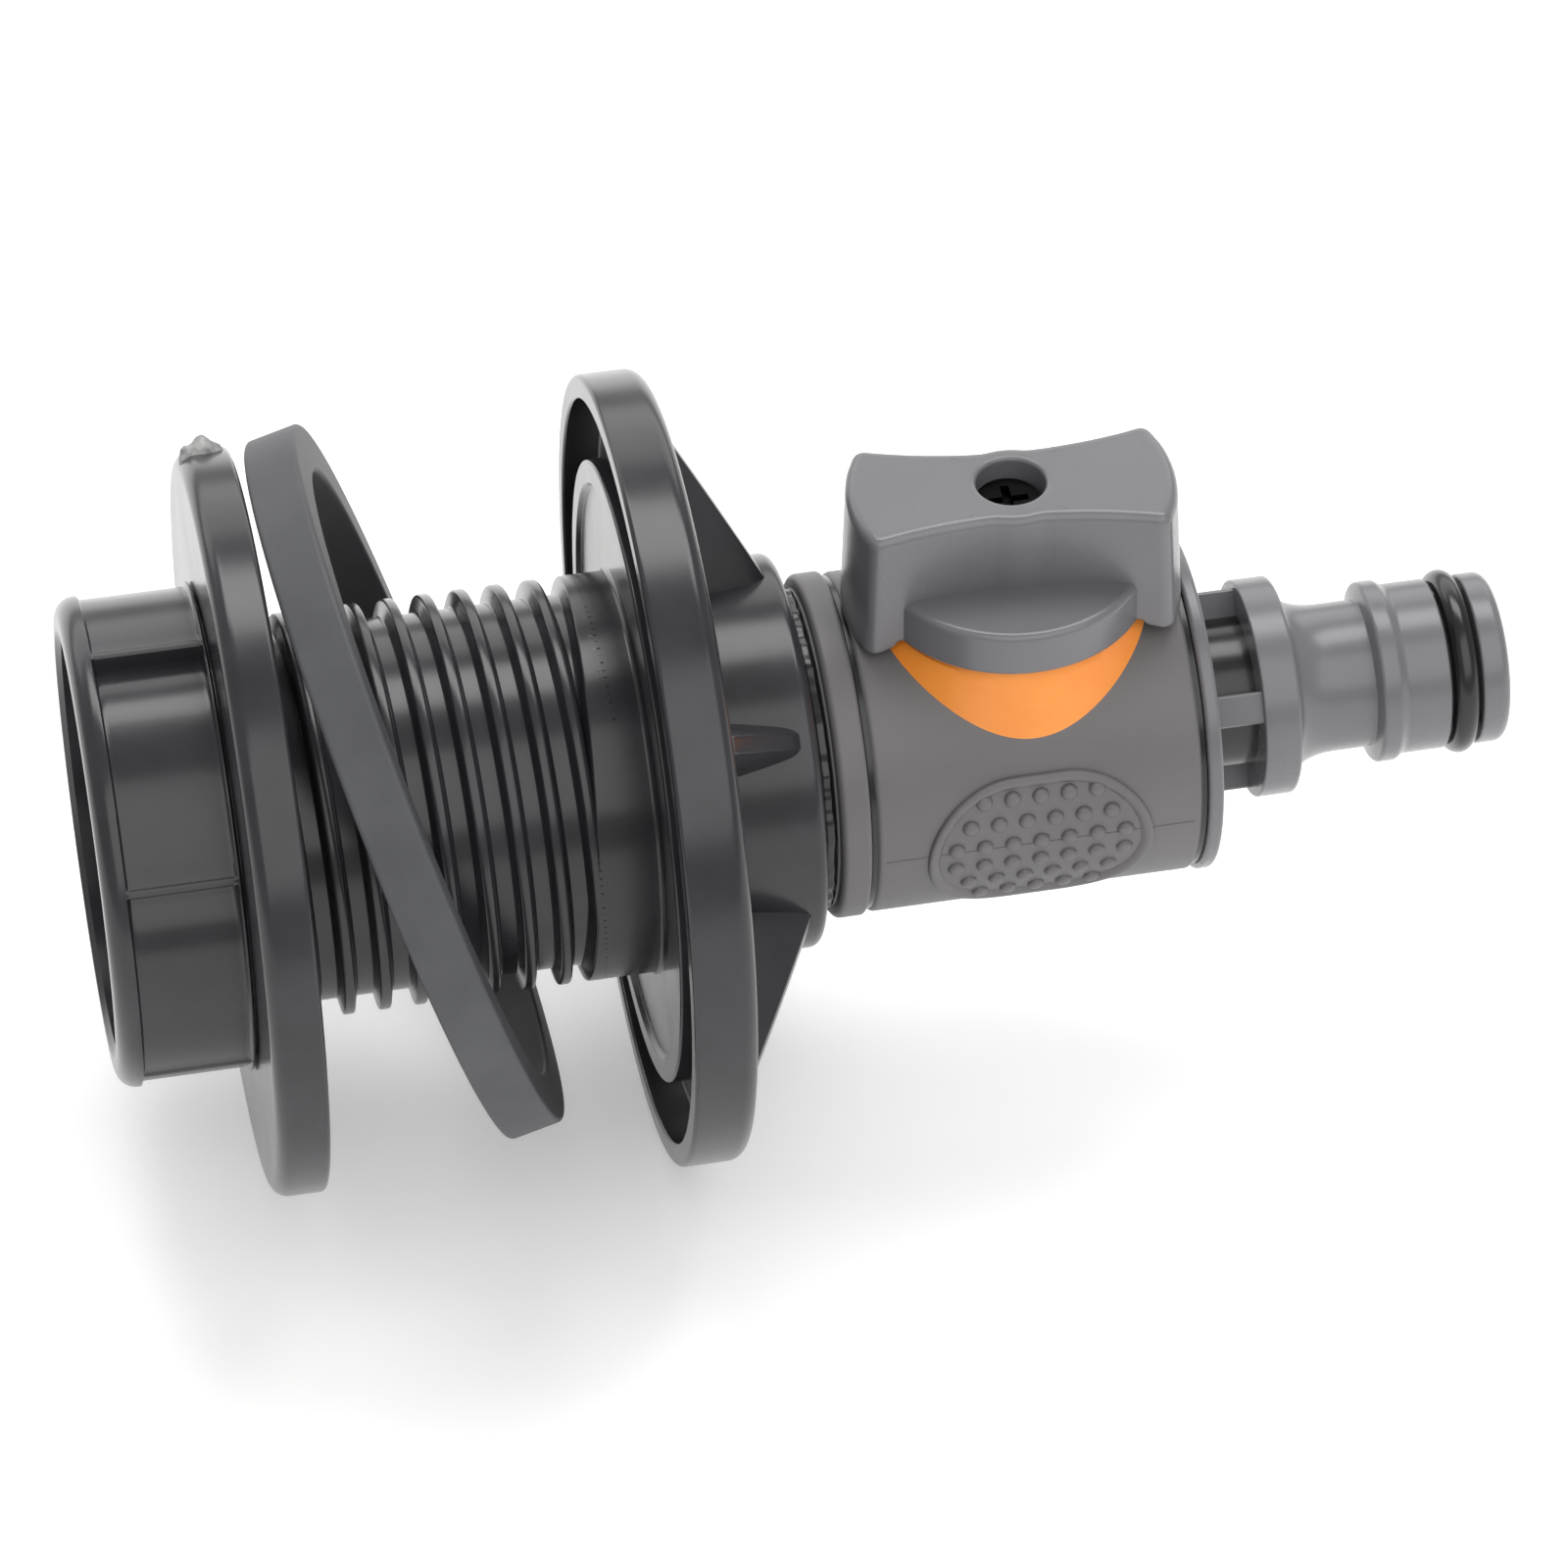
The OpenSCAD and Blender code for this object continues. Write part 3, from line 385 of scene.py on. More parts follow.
def gripShell(n):
    # rows of (x, plain radius, share) run from the bore over the rounded end, along the panels and
    # down behind them; the radius is plain * (1 - share) + panelRadius * share
    span = 360 / n["panels"]
    fine = np.array([0, 0.5, 1.2, 1.9, 2.6, 3.5, *np.linspace(4.5, span - 4, 26),
                     *(span - np.array([3.2, 2.6, 2.2, 1.9, 1.45, 1.0, 0.7, 0.45, 0.15]))])
    degrees = (n["panelTurn"] + fine[None] + span * np.arange(n["panels"])[:, None]).ravel()
    end, back = nutLow[0] - n["reach"], nutHigh[0] - n["flangeThickness"]
    boreR, gripR, endRound, gapR = n["boreR"], n["gripR"], n["endRound"], n["gapR"]
    panelStart, panelEnd = end + n["lipLength"], back - n["gap"] - n["endLip"]
    lipEnd = panelEnd + n["endLip"]
    bend = np.linspace(0, np.pi / 2, 9)
    intoPanel = [(-0.3, 0), (-0.12, 0), (-0.04, 0.05), (0.02, 0.3), (0.16, 0.93), (0.3, 1), (0.6, 1)]
    rows = [(back + 0.6, boreR + n["wallInset"], 0), (end + 0.5, boreR + n["wallInset"], 0),
            (end, boreR + 0.8, 0), (end, boreR + 0.9, 0), (end, gripR - endRound - 0.1, 0)]
    rows += [(end + endRound * (1 - math.cos(b)), gripR - endRound * (1 - math.sin(b)), 0) for b in bend]
    rows += [(panelStart + along, gripR, share) for along, share in intoPanel]
    rows += [(panelEnd - along, gripR, share) for along, share in intoPanel[:0:-1]]
    rows += [(lipEnd - 0.12, gripR, 0), (lipEnd, gripR - 0.1, 0), (lipEnd + 0.08, gapR + 0.1, 0),
             (lipEnd + 0.2, gapR, 0), (back + 0.6, gapR, 0)]
    rows = np.array(rows)
    x, plain, share = rows[:, :1], rows[:, 1:2], rows[:, 2:]
    r = plain * (1 - share) + panelRadius(degrees, n) * share
    a = np.radians(degrees)
    return gridShell(np.stack([x + 0 * a, r * np.cos(a), r * np.sin(a)], -1))


def nutFlangeShell(n):
    # a disc with rounded edges, turned round the pipe axis
    back, face, flangeR = nutHigh[0] - n["flangeThickness"], nutHigh[0], nutHigh[1]
    innerR = n["boreR"] + n["wallInset"]
    return gridShell(turnedX(rounded([
        (back, innerR), (back, flangeR, n["flangeBack"]), (face, flangeR, n["flangeEdge"]),
        (face, innerR, 0.5)])))


# Torn gate left on top of the nut's flange: a low, lumpy stub
gate = dict(turn=58.0, x=-35.0, length=4.0, width=3.2, height=1.25, sunk=0.25, footDrop=0.8)


def gateShell(g):
    # a dome over an ellipse whose height and rim are pushed about by a few sines
    rings, segments = 8, 40
    a = np.linspace(0, 2 * np.pi, segments, endpoint=False)
    q = np.linspace(1, 0.02, rings)[:, None]
    wobble = 1 + 0.13 * np.sin(3 * a + 0.7) + 0.08 * np.sin(5 * a + 2.1)
    u = g["length"] / 2 * q * np.cos(a) * wobble
    v = g["width"] / 2 * q * np.sin(a) * wobble
    lift = g["height"] * (1 - q ** 5) * (1 + 0.3 * np.sin(2.6 * u + 0.8) + 0.22 * np.sin(3.7 * v + u))
    angle = math.radians(g["turn"])
    r = nutHigh[1] - g["sunk"] + lift
    y = r * math.cos(angle) - v * math.sin(angle)
    z = r * math.sin(angle) + v * math.cos(angle)
    grid = np.stack([g["x"] + u, y, z], -1)
    foot = grid[:1] - g["footDrop"] * np.array([0, math.cos(angle), math.sin(angle)])
    return cappedShell(np.concatenate([foot, grid]))


makePiece("barrelNut", [
    gripShell(nut), nutFlangeShell(nut),
    ridgeShell(nutLow[0] + 1.2, nutHigh[0] - 1.2, nut["boreR"] + nut["wallInset"], connector["rootR"] + 0.35,
               thread["lead"] + thread["pitch"] / 2, True, True),
], "mouldedCharcoalPolypropylene", "nut", ["tank_nut"])
makePiece("nutGateMark", [gateShell(gate)], "tornPolypropylene", "nut", [], crease=25)
print("nut made")

# Loose seal: a flat ring that leans on the nut
sealLow, sealHigh = boxMm("flange_seal_ring")
seal = dict(innerR=29.15, outerR=33.85, thickness=5.0, edge=0.45, lean=16.2, swing=-1.7,
            shift=(-2.4, 0, -0.4))


def sealShell(s):
    # a flat ring turned round X, leant about Y, swung about Z and set beside its solid's middle
    half = s["thickness"] / 2
    grid = turnedX(rounded([
        (-half, s["innerR"], s["edge"]), (-half, s["outerR"], s["edge"]), (half, s["outerR"], s["edge"]),
        (half, s["innerR"], s["edge"])]))
    swing = Matrix.Rotation(math.radians(-s["swing"]), 3, "Z")
    lean = Matrix.Rotation(math.radians(-s["lean"]), 3, "Y")
    centre = (sealLow + sealHigh) / 2 + np.array(s["shift"])
    return gridShell(grid @ np.array(swing @ lean).T + centre)


makePiece("looseSeal", [sealShell(seal)], "mouldedGreyRubber", "seal", ["flange_seal_ring"])

# Washer, inlet cap and its thin seal between hub and valve body
washerLow, washerHigh = boxMm("inlet_washer")
bodyLow, bodyHigh = boxMm("valve_body")
capSealLow, capSealHigh = boxMm("inlet_cap_seal")
outletSealLow, outletSealHigh = boxMm("outlet_cap_seal")
washer = dict(inset=0.9, innerR=13.3, edge=0.2, rimRound=0.55)
cap = dict(ringR=15.9, ringThickness=2.75, ringRound=0.75, shoulderR=14.6, shoulder=0.25, gap=0.5, boreR=5.1,
           edge=0.4, tailR=13.1, tailLength=9.5, tailStep=0.6, chamberR=11.1, chamberDepth=8.0)
thinSeal = dict(width=1.8, edge=0.2, rimRound=0.15)


def washerShell(w):
    # a soft washer squeezed between hub and cap: its rim wanders in and out by a tenth or two
    start, end, rim = washerLow[0], washerHigh[0], washerHigh[1] - w["inset"]
    profile = rounded([
        (start, w["innerR"], w["edge"]), (start, rim, w["rimRound"]), (end, rim, w["rimRound"]),
        (end, w["innerR"], w["edge"])])
    grid = turnedX(profile, 720)
    a = np.linspace(0, 2 * np.pi, grid.shape[1], endpoint=False)
    squeeze = (0.008 * np.sin(11 * a) + 0.006 * np.sin(17 * a + 1.0)
               + 0.006 * np.sin(41 * a + 2.0) * np.sin(3 * a))
    onRim = profile[:, 1:2] > w["innerR"] + 0.7
    grid[..., 1:] *= (1 + onRim * squeeze)[..., None]
    return gridShell(grid)


def inletCapShell(c):
    # tail, shoulder and ring outside, chamber and bore inside, turned round the pipe axis
    ringX = bodyLow[0] - c["gap"] - c["ringThickness"]
    shoulderX = ringX - c["shoulder"]
    tailX, ringEnd = shoulderX - c["tailLength"], ringX + c["ringThickness"]
    chamberEnd = bodyLow[0] + c["chamberDepth"]
    return gridShell(turnedX(rounded([
        (tailX, c["boreR"] + 3.0, 0.2), (tailX, c["tailR"] - c["tailStep"], 0.1),
        (tailX + c["tailStep"], c["tailR"], 0.1), (shoulderX, c["tailR"]), (shoulderX, c["shoulderR"], 0.3),
        (ringX, c["shoulderR"], 0.2), (ringX, c["ringR"], c["ringRound"]), (ringEnd, c["ringR"], c["edge"]),
        (ringEnd, c["chamberR"]), (chamberEnd, c["chamberR"]), (chamberEnd, c["boreR"]),
        (shoulderX - 4.0, c["boreR"])])))


def thinSealShell(low, high, s):
    # a flat ring as long as its solid, turned round the pipe axis
    innerR = high[1] - s["width"]
    return gridShell(turnedX(rounded([
        (low[0], innerR, s["edge"]), (low[0], high[1], s["rimRound"]), (high[0], high[1], s["rimRound"]),
        (high[0], innerR, s["edge"])])))


makePiece("inletWasher", [washerShell(washer)], "mouldedBlackRubber", "tap", ["inlet_washer"])
makePiece("inletCap", [inletCapShell(cap)], "satinGreyAbs", "tap", ["inlet_cap"])
for sealName, node, low, high in (
        ("inletCapSeal", "inlet_cap_seal", capSealLow, capSealHigh),
        ("outletCapSeal", "outlet_cap_seal", outletSealLow, outletSealHigh)):
    makePiece(sealName, [thinSealShell(low, high, thinSeal)], "mouldedBlackRubber", "tap",
              [node])
print("seals and inlet cap made")

# Valve body: cylinder, neck for the stem, and a grip pad with dots on each side
handleLow, handleHigh = boxMm("handle")
valveX = (handleLow[0] + handleHigh[0]) / 2
body = dict(radius=15.7, chamberR=11.2, edge=0.55, neckR=7.6, neckFoot=12.0, stemHoleR=4.18)
pad = dict(length=20.9, height=16.4, drop=2.0, rim=1.15, relief=0.45, dotR=0.78, dotPitch=2.6, dotRow=2.45,
           rowDots=[5, 6, 7, 7, 6, 5], parting=-1.2)


def onSide(x, z, lift, side):
    # wraps the pad's plan, seen along Y, onto the body: z / radius is the sine of the angle
    sine = z / body["radius"]
    r = body["radius"] + lift
    return np.stack([valveX + x, side * r * np.sqrt(1 - sine ** 2), r * sine], -1)


def padRimShell(p, side):
    # a stadium outline, swept by a low bead with rounded shoulders
    half, r = (p["length"] - p["height"]) / 2, p["height"] / 2
    a = np.linspace(-np.pi / 2, np.pi / 2, 49)
    straight = np.linspace(-1, 1, 16)[1:-1] * half
    centreX = np.concatenate([np.full(49, half), -straight, np.full(49, -half), straight])
    dirX = np.concatenate([np.cos(a), 0 * straight, -np.cos(a), 0 * straight])
    dirZ = np.concatenate([np.sin(a), 0 * straight + 1, -np.sin(a), 0 * straight - 1])
    inset = np.array([0, 0.02, 0.08, 0.2, 0.36, 0.6, 0.85, p["rim"] - 0.12, p["rim"], p["rim"], 0])
    lift = p["relief"] * np.array([0.0, 0.45, 0.75, 0.95, 1, 0.97, 0.7, 0.3, 0.02, -0.6, -0.6])
    x = centreX + dirX * (r - inset[:, None])
    z = -p["drop"] + dirZ * (r - inset[:, None])
    return gridShell(onSide(x, z, lift[:, None] + 0 * x, side))


def padDotShells(p, side):
    # low domes on staggered rows; every dot is the same few rings round a centre
    segments = 20
    a = np.linspace(0, 2 * np.pi, segments, endpoint=False)
    q = np.array([1.0, 1.0, 0.94, 0.8, 0.6, 0.35, 0.12])[:, None]
    lift = p["relief"] * np.array([-0.4, 0.06, 0.4, 0.74, 0.94, 1.03, 1.06])[:, None]
    shells = []
    for k, count in enumerate(p["rowDots"]):
        for i in range(count):
            x = (i - (count - 1) / 2) * p["dotPitch"] + p["dotR"] * q * np.cos(a)
            z = -p["drop"] + ((len(p["rowDots"]) - 1) / 2 - k) * p["dotRow"] + p["dotR"] * q * np.sin(a)
            shells.append(cappedShell(onSide(x, z, lift + 0 * x, side)))
    return shells


def partingShell(side):
    # the mould's parting line: a hair of flash along the body, a little below its middle
    x = np.linspace(bodyLow[0] + 0.8, bodyHigh[0] - 0.8, 60)[:, None] - valveX
    across = np.array([-0.17, -0.1, -0.04, 0.04, 0.1, 0.17])
    lift = np.array([-0.3, 0.04, 0.085, 0.085, 0.04, -0.3])
    return cappedShell(onSide(x + 0 * across, pad["parting"] + across + 0 * x, lift + 0 * x, side))


def bodyShells(b):
    # a tube turned round the pipe axis, and the stem's neck turned round the stem's axis
    tube = gridShell(turnedX(rounded([
        (bodyLow[0], b["chamberR"], 0.2), (bodyLow[0], b["radius"], b["edge"]),
        (bodyHigh[0], b["radius"], b["edge"]), (bodyHigh[0], b["chamberR"], 0.2)])))
    neck = gridShell(turnedZ(rounded([
        (b["stemHoleR"], b["neckFoot"]), (b["neckR"], b["neckFoot"]), (b["neckR"], bodyHigh[2], 0.3),
        (b["stemHoleR"], bodyHigh[2], 0.2)]), valveX))
    return [tube, neck]


makePiece("valveBody", [
    *bodyShells(body),
    *[padRimShell(pad, side) for side in (-1, 1)],
    *[shell for side in (-1, 1) for shell in padDotShells(pad, side)],
    *[partingShell(side) for side in (-1, 1)],
], "satinGreyAbs", "tap", ["valve_body"])
print("valve body made")

# Coloured collar under the handle, sunk a little in the body it saddles
collarLow, collarHigh = boxMm("indicator_collar")
collar = dict(innerR=9.5, edge=0.3, sunk=0.15, taper=1.3)


def collarShell(c):
    # a tube round the stem whose foot follows the body, z = sqrt(R^2 - y^2), and which narrows
    # upwards by the taper
    radius, top = (collarHigh[0] - collarLow[0]) / 2, collarHigh[2]
    a = np.linspace(0, 2 * np.pi, 240, endpoint=False)
    bend = np.linspace(0, np.pi / 2, 5)
    r = np.concatenate([[c["innerR"], radius], np.full(6, radius), radius - c["edge"] * (1 - np.cos(bend)),
                        [radius - 1.0, c["innerR"]]])[:, None]
    share = np.concatenate([[0, 0], np.linspace(0.05, 0.9, 6), 1 + 0 * bend, [1, 1]])[:, None]
    lip = np.concatenate([np.zeros(8), c["edge"] * (np.sin(bend) - 1), [0, 0]])[:, None]
    r = r - c["taper"] * share * (r > radius - 1.1)
    foot = np.sqrt((body["radius"] - c["sunk"]) ** 2 - (r * np.sin(a)) ** 2)
    z = foot + (top - foot) * share + lip
    return gridShell(np.stack([valveX + r * np.cos(a), r * np.sin(a), z], -1))


makePiece("indicatorCollar", [collarShell(collar)], "mouldedOrangeAbs", "tap",
          ["indicator_collar"])

# Outlet nipple: cap ring, ribs, stop collar, flared neck, latch ridge, O-ring groove and tip
nippleLow, nippleHigh = boxMm("outlet_nipple")
nipple = dict(
    capR=15.9, capThickness=1.4, capGap=0.5, coreR=6.6, sleeveR=7.0, ribLength=5.25, ribR=9.6, sunk=0.4,
    ribs=((42.0, 44.0), (150.0, 18.0), (264.0, 40.0)),  # middle and span of each, in degrees
    stopR=10.1, stopThickness=3.5, stopRound=1.4, neckStartR=9.0, neckR=6.85, flare=4.3, neckLength=3.45,
    ridgeR=8.4, ridgeRamp=0.35, ridgeWidth=1.65, ridgeFall=0.7, seatLength=4.15, grooveWidth=2.95,
    grooveDepth=1.75, tipR=7.9, tipRound=1.0, tipReach=0.5, boreR=5.1, edge=0.4, sealSection=2.4)


def nippleShells(n):
    # the outline of (x, r) stations is turned round the pipe axis, and each rib is a sector beside it
    capX = bodyHigh[0] + n["capGap"]
    capEnd = capX + n["capThickness"]
    stopX = capEnd + n["ribLength"]
    neckX = stopX + n["stopThickness"]
    latchX = neckX + n["flare"]
    rampX = latchX + n["neckLength"]
    ridgeX = rampX + n["ridgeRamp"]
    ridgeEnd = ridgeX + n["ridgeWidth"]
    fallEnd = ridgeEnd + n["ridgeFall"]
    grooveX = fallEnd + n["seatLength"]
    grooveEnd = grooveX + n["grooveWidth"]
    tipX = nippleHigh[0] + n["tipReach"]
    # the flare is a quarter of an ellipse, square to the stop and smooth into the neck
    q = np.radians(np.linspace(0, 90, 9))
    flareX = neckX + (latchX - neckX) * (1 - np.cos(q))
    flareR = n["neckR"] + (n["neckStartR"] - n["neckR"]) * (1 - np.sin(q))
    profile = rounded([
        (capX, n["boreR"]), (capX, n["capR"], n["edge"]), (capEnd, n["capR"], n["edge"]),
        (capEnd, n["coreR"], 0.3), (stopX, n["coreR"], 0.3), (stopX, n["stopR"], 0.2),
        (neckX, n["stopR"], n["stopRound"]),
        (neckX, n["neckStartR"] + 0.2, 0.2), *zip(flareX[1:], flareR[1:]), (rampX, n["neckR"], 0.15),
        (ridgeX, n["ridgeR"], 0.4), (ridgeEnd, n["ridgeR"], 0.6), (fallEnd, n["tipR"], 0.8),
        (grooveX, n["tipR"], 0.25), (grooveX, n["tipR"] - n["grooveDepth"], 0.2),
        (grooveEnd, n["tipR"] - n["grooveDepth"], 0.2), (grooveEnd, n["tipR"], 0.25),
        (tipX, n["tipR"], n["tipRound"]), (tipX, n["boreR"], 0.5)])
    shells = [gridShell(turnedX(profile))]
    for turnDegrees, span in n["ribs"]:
        half = math.radians(span / 2)
        a = math.radians(turnDegrees) + np.array([-half, -half, -half + 0.02, half - 0.02, half, half])
        footR, ribR = n["coreR"] - n["sunk"], n["ribR"]
        r = np.array([footR, ribR - 0.2, ribR, ribR, ribR - 0.2, footR])
        x = np.linspace(capEnd - 0.3, stopX + 0.3, 4)[:, None]
        shells.append(cappedShell(np.stack([x + 0 * a, r * np.cos(a) + 0 * x, r * np.sin(a) + 0 * x], -1)))
    return shells


def sleeveShell(n):
    # dark tube that shows between the ribs, in black rubber so the windows read dark: partly the core's own
    # dark colour, partly painted shade; a plain ring, sunk a little at both ends
    start = bodyHigh[0] + n["capGap"] + n["capThickness"] - 0.3
    end = start + n["ribLength"] + 0.6
    innerR, outerR = n["coreR"] - n["sunk"], n["sleeveR"]
    return gridShell(turnedX(np.array([
        (start, innerR), (start, outerR), (start + 0.6, outerR), (end - 0.6, outerR), (end, outerR),
        (end, innerR)])))


def ringShell(n):
    # a round section turned round the pipe axis, in the middle of its groove
    section = n["sealSection"] / 2
    beforeGroove = ("capGap", "capThickness", "ribLength", "stopThickness", "flare", "neckLength",
                    "ridgeRamp", "ridgeWidth", "ridgeFall", "seatLength")
    centreX = bodyHigh[0] + sum(n[key] for key in beforeGroove) + n["grooveWidth"] / 2
    centreR = n["tipR"] - n["grooveDepth"] + section
    a = np.linspace(0, 2 * np.pi, 36, endpoint=False)
    return gridShell(turnedX(np.stack([centreX + section * np.cos(a), centreR + section * np.sin(a)], 1)))


makePiece("outletNipple", nippleShells(nipple), "polishedGreyAbs", "tap", ["outlet_nipple"])
# the sleeve is no CAD part: its black finish is partly the core's dark colour, partly painted shade in the
# windows
makePiece("nippleSleeveShade", [sleeveShell(nipple)], "mouldedBlackRubber", "tap", [])
makePiece("nippleORing", [ringShell(nipple)], "mouldedBlackRubber", "tap",
          ["nipple_o_ring"])
print("outlet made")

# Handle: bow tie with a round boss, screw hole and a round disc under the wings
handle = dict(
    wingWidth=13.9, waist=9.9, bossR=5.3, forward=0.35, holeR=3.15, holeFloor=24.4, holeEdge=0.4, discR=12.4,
    discThickness=4.4, topRound=0.95, bottomRound=0.4, cornerRound=1.2, bossFillet=0.45, topDrop=0.9,
    skirtDrop=0.75, skirtStart=13.0, draft=0.035, turn=-3.6, shift=0.25, wall=1.8, roof=2.0, hollowR=10.7,
    screwR=1.6, seatR=3.9, seatDepth=2.5, discInnerR=4.0, discHollowR=8.0, discRoof=1.6)


def wingOutline(h):
    # one side is a hollow arc from wing tip to wing tip, raised by the boss, joined by a soft maximum;
    # the ends are arcs about the stem, and the four tips are rounded
    reach = (handleHigh[0] - handleLow[0]) / 2
    tipX = math.sqrt(reach ** 2 - h["wingWidth"] ** 2 / 4)
    rise = (h["wingWidth"] - h["waist"]) / 2
    sideR = (tipX ** 2 + rise ** 2) / (2 * rise)
    nearTip = tipX - 2.2
    x = np.concatenate([
        np.linspace(-nearTip, -6.4, 12), np.linspace(-6, 6, 97), np.linspace(6.4, nearTip, 12)])
    hollow = h["waist"] / 2 + sideR - np.sqrt(sideR ** 2 - x ** 2)
    boss = np.sqrt(np.maximum(h["bossR"] ** 2 - x ** 2, 0)) - 3 * np.maximum(np.abs(x) - h["bossR"] + 0.02, 0)
    k = 0.25 * h["bossFillet"]
    y = k * np.logaddexp(hollow / k, boss / k)
    tipAngle = math.asin(h["wingWidth"] / 2 / reach)
    a = np.linspace(tipAngle * 0.62, -tipAngle * 0.62, 21)
    corners = [*zip(x, y)]
    corners.append((tipX, h["wingWidth"] / 2, h["cornerRound"]))
    corners += [*zip(reach * np.cos(a), reach * np.sin(a))]
    corners.append((tipX, -h["wingWidth"] / 2, h["cornerRound"]))
    corners += [*zip(x[::-1], -y[::-1])]
    corners.append((-tipX, -h["wingWidth"] / 2, h["cornerRound"]))
    corners += [*zip(-reach * np.cos(a), -reach * np.sin(a))]
    corners.append((-tipX, h["wingWidth"] / 2, h["cornerRound"]))
    return rounded(corners, lead=0.3)


def wingShell(h):
    # the outline is carried up the wall, which leans in by the draft at both ends, drawn in round the
    # top edge, across the flat top to the hole's rim, down the hole, and back under the handle, where
    # each wing is hollow between its walls and the circle hollowR
    plan = wingOutline(h) - np.array([0, h["forward"]])
    ahead, behind = np.roll(plan, -1, 0), np.roll(plan, 1, 0)
    tangent = (ahead - behind) / np.linalg.norm(ahead - behind, axis=1)[:, None]
    inward = np.stack([tangent[:, 1], -tangent[:, 0]], 1)
    inward *= np.sign(-np.sum(inward * plan, 1).mean())
    around = np.arctan2(plan[:, 1], plan[:, 0])
    circle = np.stack([np.cos(around), np.sin(around)], 1)
    base, top = handleLow[2], handleHigh[2] - h["topDrop"]
    reach = np.hypot(plan[:, 0], plan[:, 1])
    foot = base - h["skirtDrop"] * np.clip((reach - h["skirtStart"]) / 0.5, 0, 1)
    bend = np.linspace(0, np.pi / 2, 9)
    inner = plan + inward * h["wall"]
    innerReach = np.hypot(inner[:, 0], inner[:, 1])
    inWing = innerReach > h["hollowR"] + 0.1
    pocketTop = np.where(inWing, top - h["roof"], base + 0.02)
    pocketEnd = np.where(inWing[:, None], inner / innerReach[:, None] * h["hollowR"], inner * 0.999)
    rows = [(inner, base + 0 * reach)]
    for b in bend[::-1]:
        rows.append((plan + inward * h["bottomRound"] * (1 - math.cos(b)),
                     foot + h["bottomRound"] * (1 - math.sin(b))))
    rows.append((plan, foot + h["bottomRound"] + 0.2))
    rows.append((plan, top - h["topRound"] - 0.2 + 0 * reach))
    for b in bend:
        rows.append((plan + inward * h["topRound"] * (1 - math.cos(b)),
                     top - h["topRound"] * (1 - math.sin(b)) + 0 * reach))
    rim = h["holeR"] + h["holeEdge"]
    edge = plan + inward * h["topRound"]
    rows.append((edge * 0.97 + circle * rim * 0.03, top + 0 * reach))
    rows.append((edge * 0.5 + circle * rim * 0.5, top + 0 * reach))
    rows.append((circle * (rim + 0.12), top + 0 * reach))
    for b in bend[::2]:
        rows.append((circle * (rim - h["holeEdge"] * math.sin(b)),
                     top - h["holeEdge"] * (1 - math.cos(b)) + 0 * reach))
    for radius, z in ((h["holeR"], top - h["holeEdge"] - 0.1), (h["holeR"], h["holeFloor"]),
                      (h["screwR"], h["holeFloor"]), (h["screwR"], base + h["seatDepth"]),
                      (h["seatR"], base + h["seatDepth"]), (h["seatR"], base)):
        rows.append((circle * radius, z + 0 * reach))
    rows += [(pocketEnd, base + 0 * reach), (pocketEnd, pocketTop), (inner, pocketTop)]
    turn = math.radians(h["turn"])
    grid = []
    for xy, z in rows:
        inWings = np.hypot(xy[:, 0], xy[:, 1]) > h["bossR"] + 1
        x = xy[:, 0] * (1 - h["draft"] * inWings * (z - base) / (top - base))
        grid.append(np.column_stack([valveX + h["shift"] + x * math.cos(turn) - xy[:, 1] * math.sin(turn),
                                     x * math.sin(turn) + xy[:, 1] * math.cos(turn), z]))
    return gridShell(np.stack(grid))


def discShell(h):
    # a disc that is hollow underneath, turned round the stem's axis
    base, top, roof = handleLow[2], handleLow[2] + h["discThickness"], handleLow[2] + h["discRoof"]
    return gridShell(turnedZ(rounded([
        (h["discHollowR"], base, 0.1), (h["discR"], base, 0.3), (h["discR"], top, 0.7),
        (h["discInnerR"], top), (h["discInnerR"], roof), (h["discHollowR"], roof)]), valveX + h["shift"]))


makePiece("handle", [wingShell(handle), discShell(handle)], "polishedGreyAbs", "valve",
          ["handle"])
print("handle made")

# Inner pieces keep their CAD shapes and take real finishes, except the screw, which is painted nearly black
# as shade
innerFinishes = {
    "ball_seat_inlet": "turnedPtfe",
    "ball_seat_outlet": "turnedPtfe",
    "seat_spring_ring_inlet": "mouldedBlackRubber",
    "seat_spring_ring_outlet": "mouldedBlackRubber",
    "valve_ball": "polishedAcetal",
    "valve_stem": "mouldedAcetal",
    "stem_washer": "turnedPtfe",
    "stem_o_ring_lower": "mouldedBlackRubber",
    "stem_o_ring_upper": "mouldedBlackRubber",
    # the screw's finish is painted shade: nearly black, so the hole reads dark
    "handle_screw": "steelPaintedAsShade",
}
for node, finish in innerFinishes.items():
    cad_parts[node].data.materials.clear()
    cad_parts[node].data.materials.append(materials[finish])

# Pale lit floor under the lowest point, and soft studio light
studio = dict(
    floorSize=6.0, floorGap=0.0004, floorColour="#fafafa", floorRoughness=0.6, floorGlow=0.22,
    worldColour="#e6e5e4", worldStrength=0.66,
    backLight=dict(place=(0.0, 1.15, 0.6), size=(2.2, 0.7), power=7.0),
    keyLight=dict(place=(0.15, 0.42, 1.12), size=(1.1, 0.5), power=8.5),
    frontLight=dict(place=(0.2, -1.0, 1.0), size=(1.8, 1.3), power=11.0))


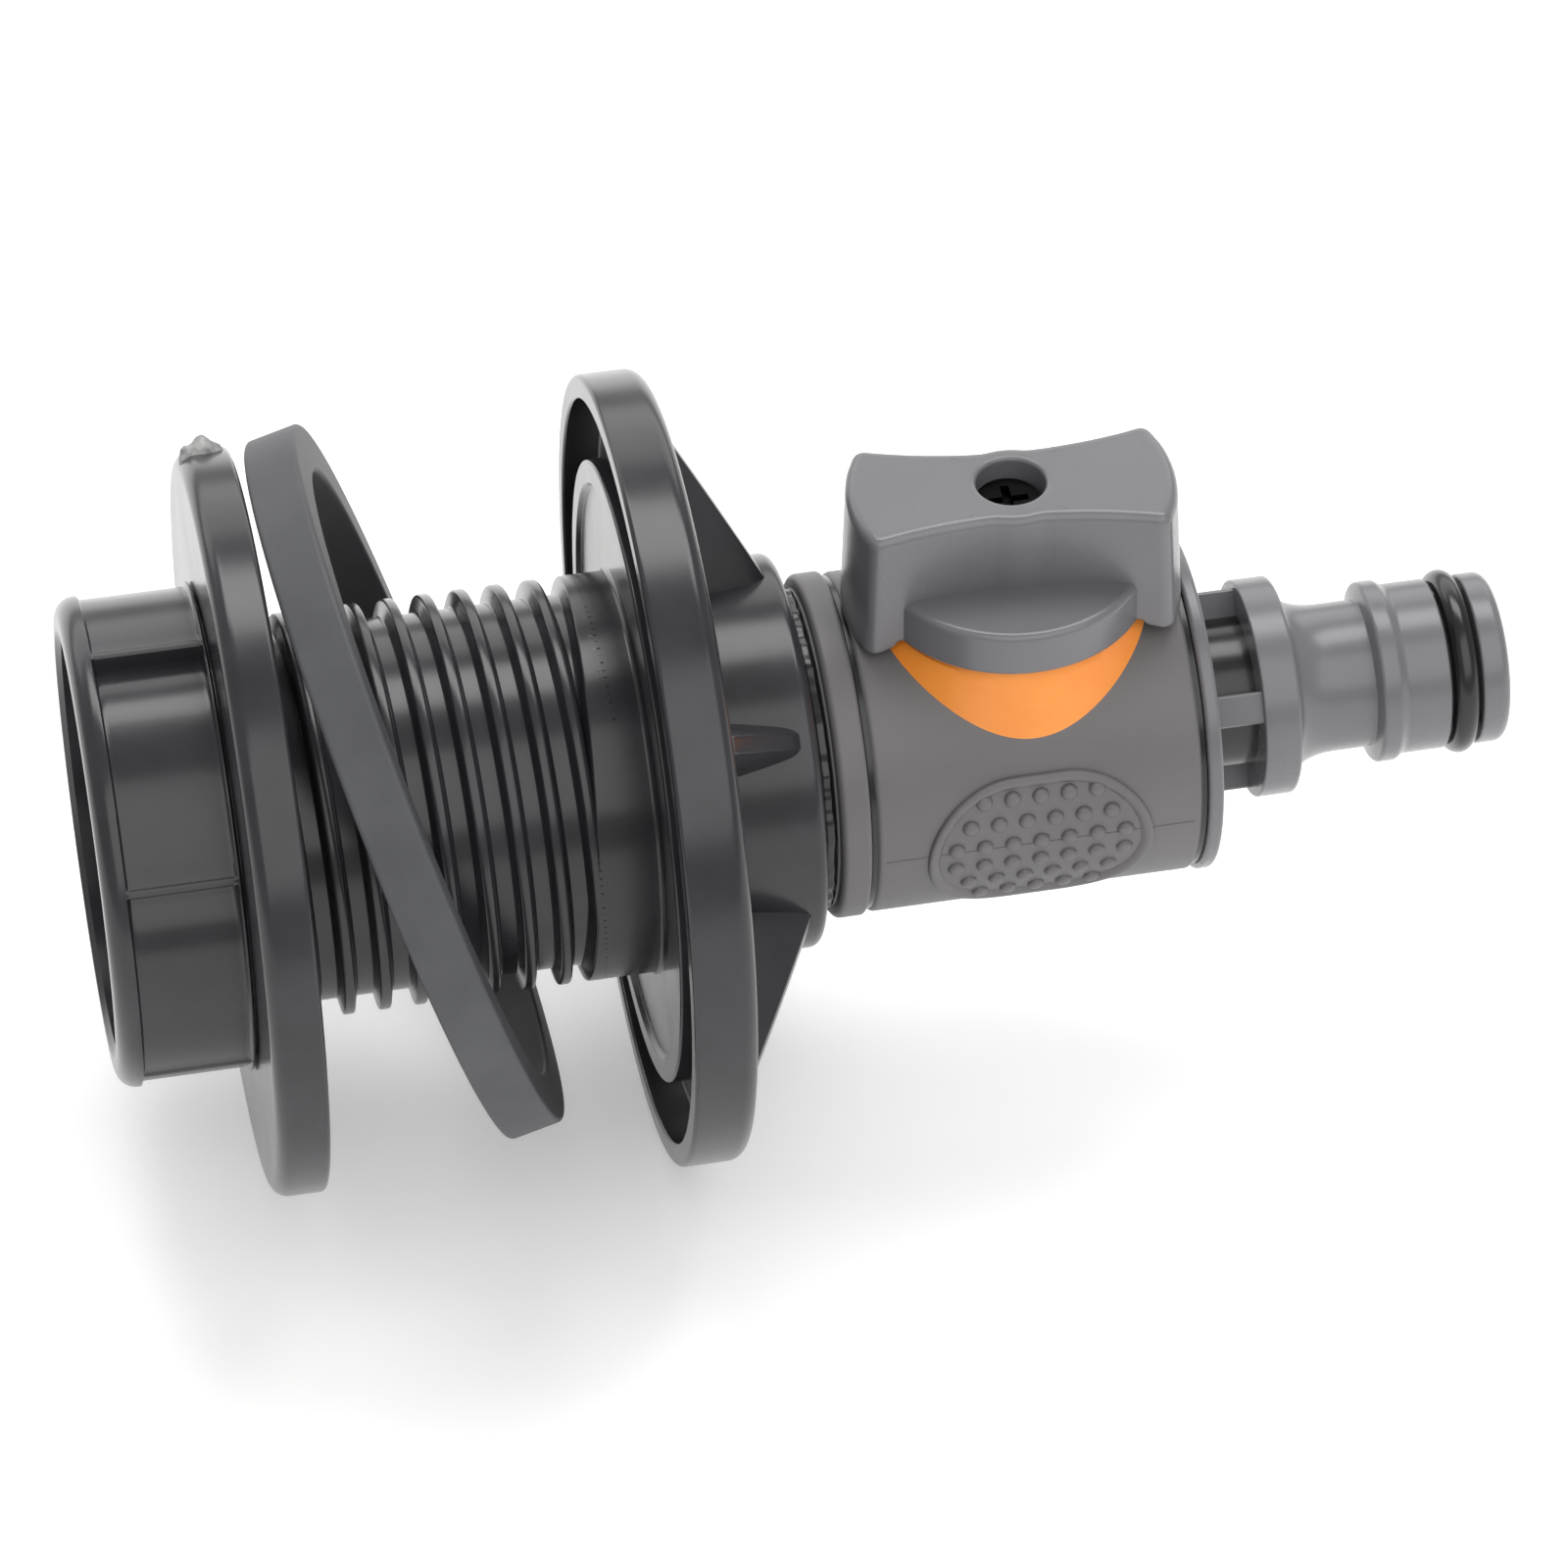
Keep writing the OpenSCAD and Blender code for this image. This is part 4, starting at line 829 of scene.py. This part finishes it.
def makeFloor(s):
    mesh = bpy.data.meshes.new("studioFloor")
    half, level = s["floorSize"] / 2, cadLow[2] - s["floorGap"]
    corners = [(-half, -half, level), (half, -half, level), (half, half, level), (-half, half, level)]
    mesh.from_pydata(corners, [], [(0, 1, 2, 3)])
    floor = bpy.data.objects.new("studioFloor", mesh)
    bpy.context.scene.collection.objects.link(floor)
    material = bpy.data.materials.new("backlitAcrylicFloor")
    material.use_nodes = True
    shader = material.node_tree.nodes["Principled BSDF"]
    shader.inputs["Base Color"].default_value = linear(s["floorColour"])
    shader.inputs["Roughness"].default_value = s["floorRoughness"]
    shader.inputs["Emission Color"].default_value = linear(s["floorColour"])
    shader.inputs["Emission Strength"].default_value = s["floorGlow"]
    mesh.materials.append(material)


def makeLight(name, place, size, power):
    data = bpy.data.lights.new(name, "AREA")
    data.shape = "RECTANGLE"
    data.size, data.size_y = size
    data.energy = power
    light = bpy.data.objects.new(name, data)
    light.location = place
    light.rotation_euler = (-Vector(place)).to_track_quat("-Z", "Y").to_euler()
    bpy.context.scene.collection.objects.link(light)


world = bpy.data.worlds.new("studioWorld")
world.use_nodes = True
background = world.node_tree.nodes["Background"]
background.inputs["Color"].default_value = linear(studio["worldColour"])
background.inputs["Strength"].default_value = studio["worldStrength"]
bpy.context.scene.world = world
makeFloor(studio)
for lightName in ("backLight", "keyLight", "frontLight"):
    makeLight(lightName, **studio[lightName])
bpy.context.scene.view_settings.view_transform = "Standard"

# Camera at the photograph's angle: back is the way from the object to the camera
camera = dict(
    back=(-0.1303, -0.7316, 0.6691), distance=0.718, lens=180.0, sensor=36.0, roll=0.9, aimX=0.0148,
    aimDrop=0.0031)


def makeCamera(c):
    # the camera's axes are built from back and the vertical, then rolled about the line of sight
    back = Vector(c["back"]).normalized()
    right = Vector((0, 0, 1)).cross(back).normalized()
    up = back.cross(right)
    roll = math.radians(c["roll"])
    rolledRight = right * math.cos(roll) - up * math.sin(roll)
    rolledUp = up * math.cos(roll) + right * math.sin(roll)
    aim = Vector((c["aimX"], 0, 0)) - rolledUp * c["aimDrop"]
    data = bpy.data.cameras.new("photoCamera")
    data.lens, data.sensor_width = c["lens"], c["sensor"]
    item = bpy.data.objects.new("photoCamera", data)
    axes = Matrix((rolledRight, rolledUp, back)).transposed().to_4x4()
    axes.translation = aim + back * c["distance"]
    item.matrix_world = axes
    bpy.context.scene.collection.objects.link(item)
    bpy.context.scene.camera = item


makeCamera(camera)
print("studio made")
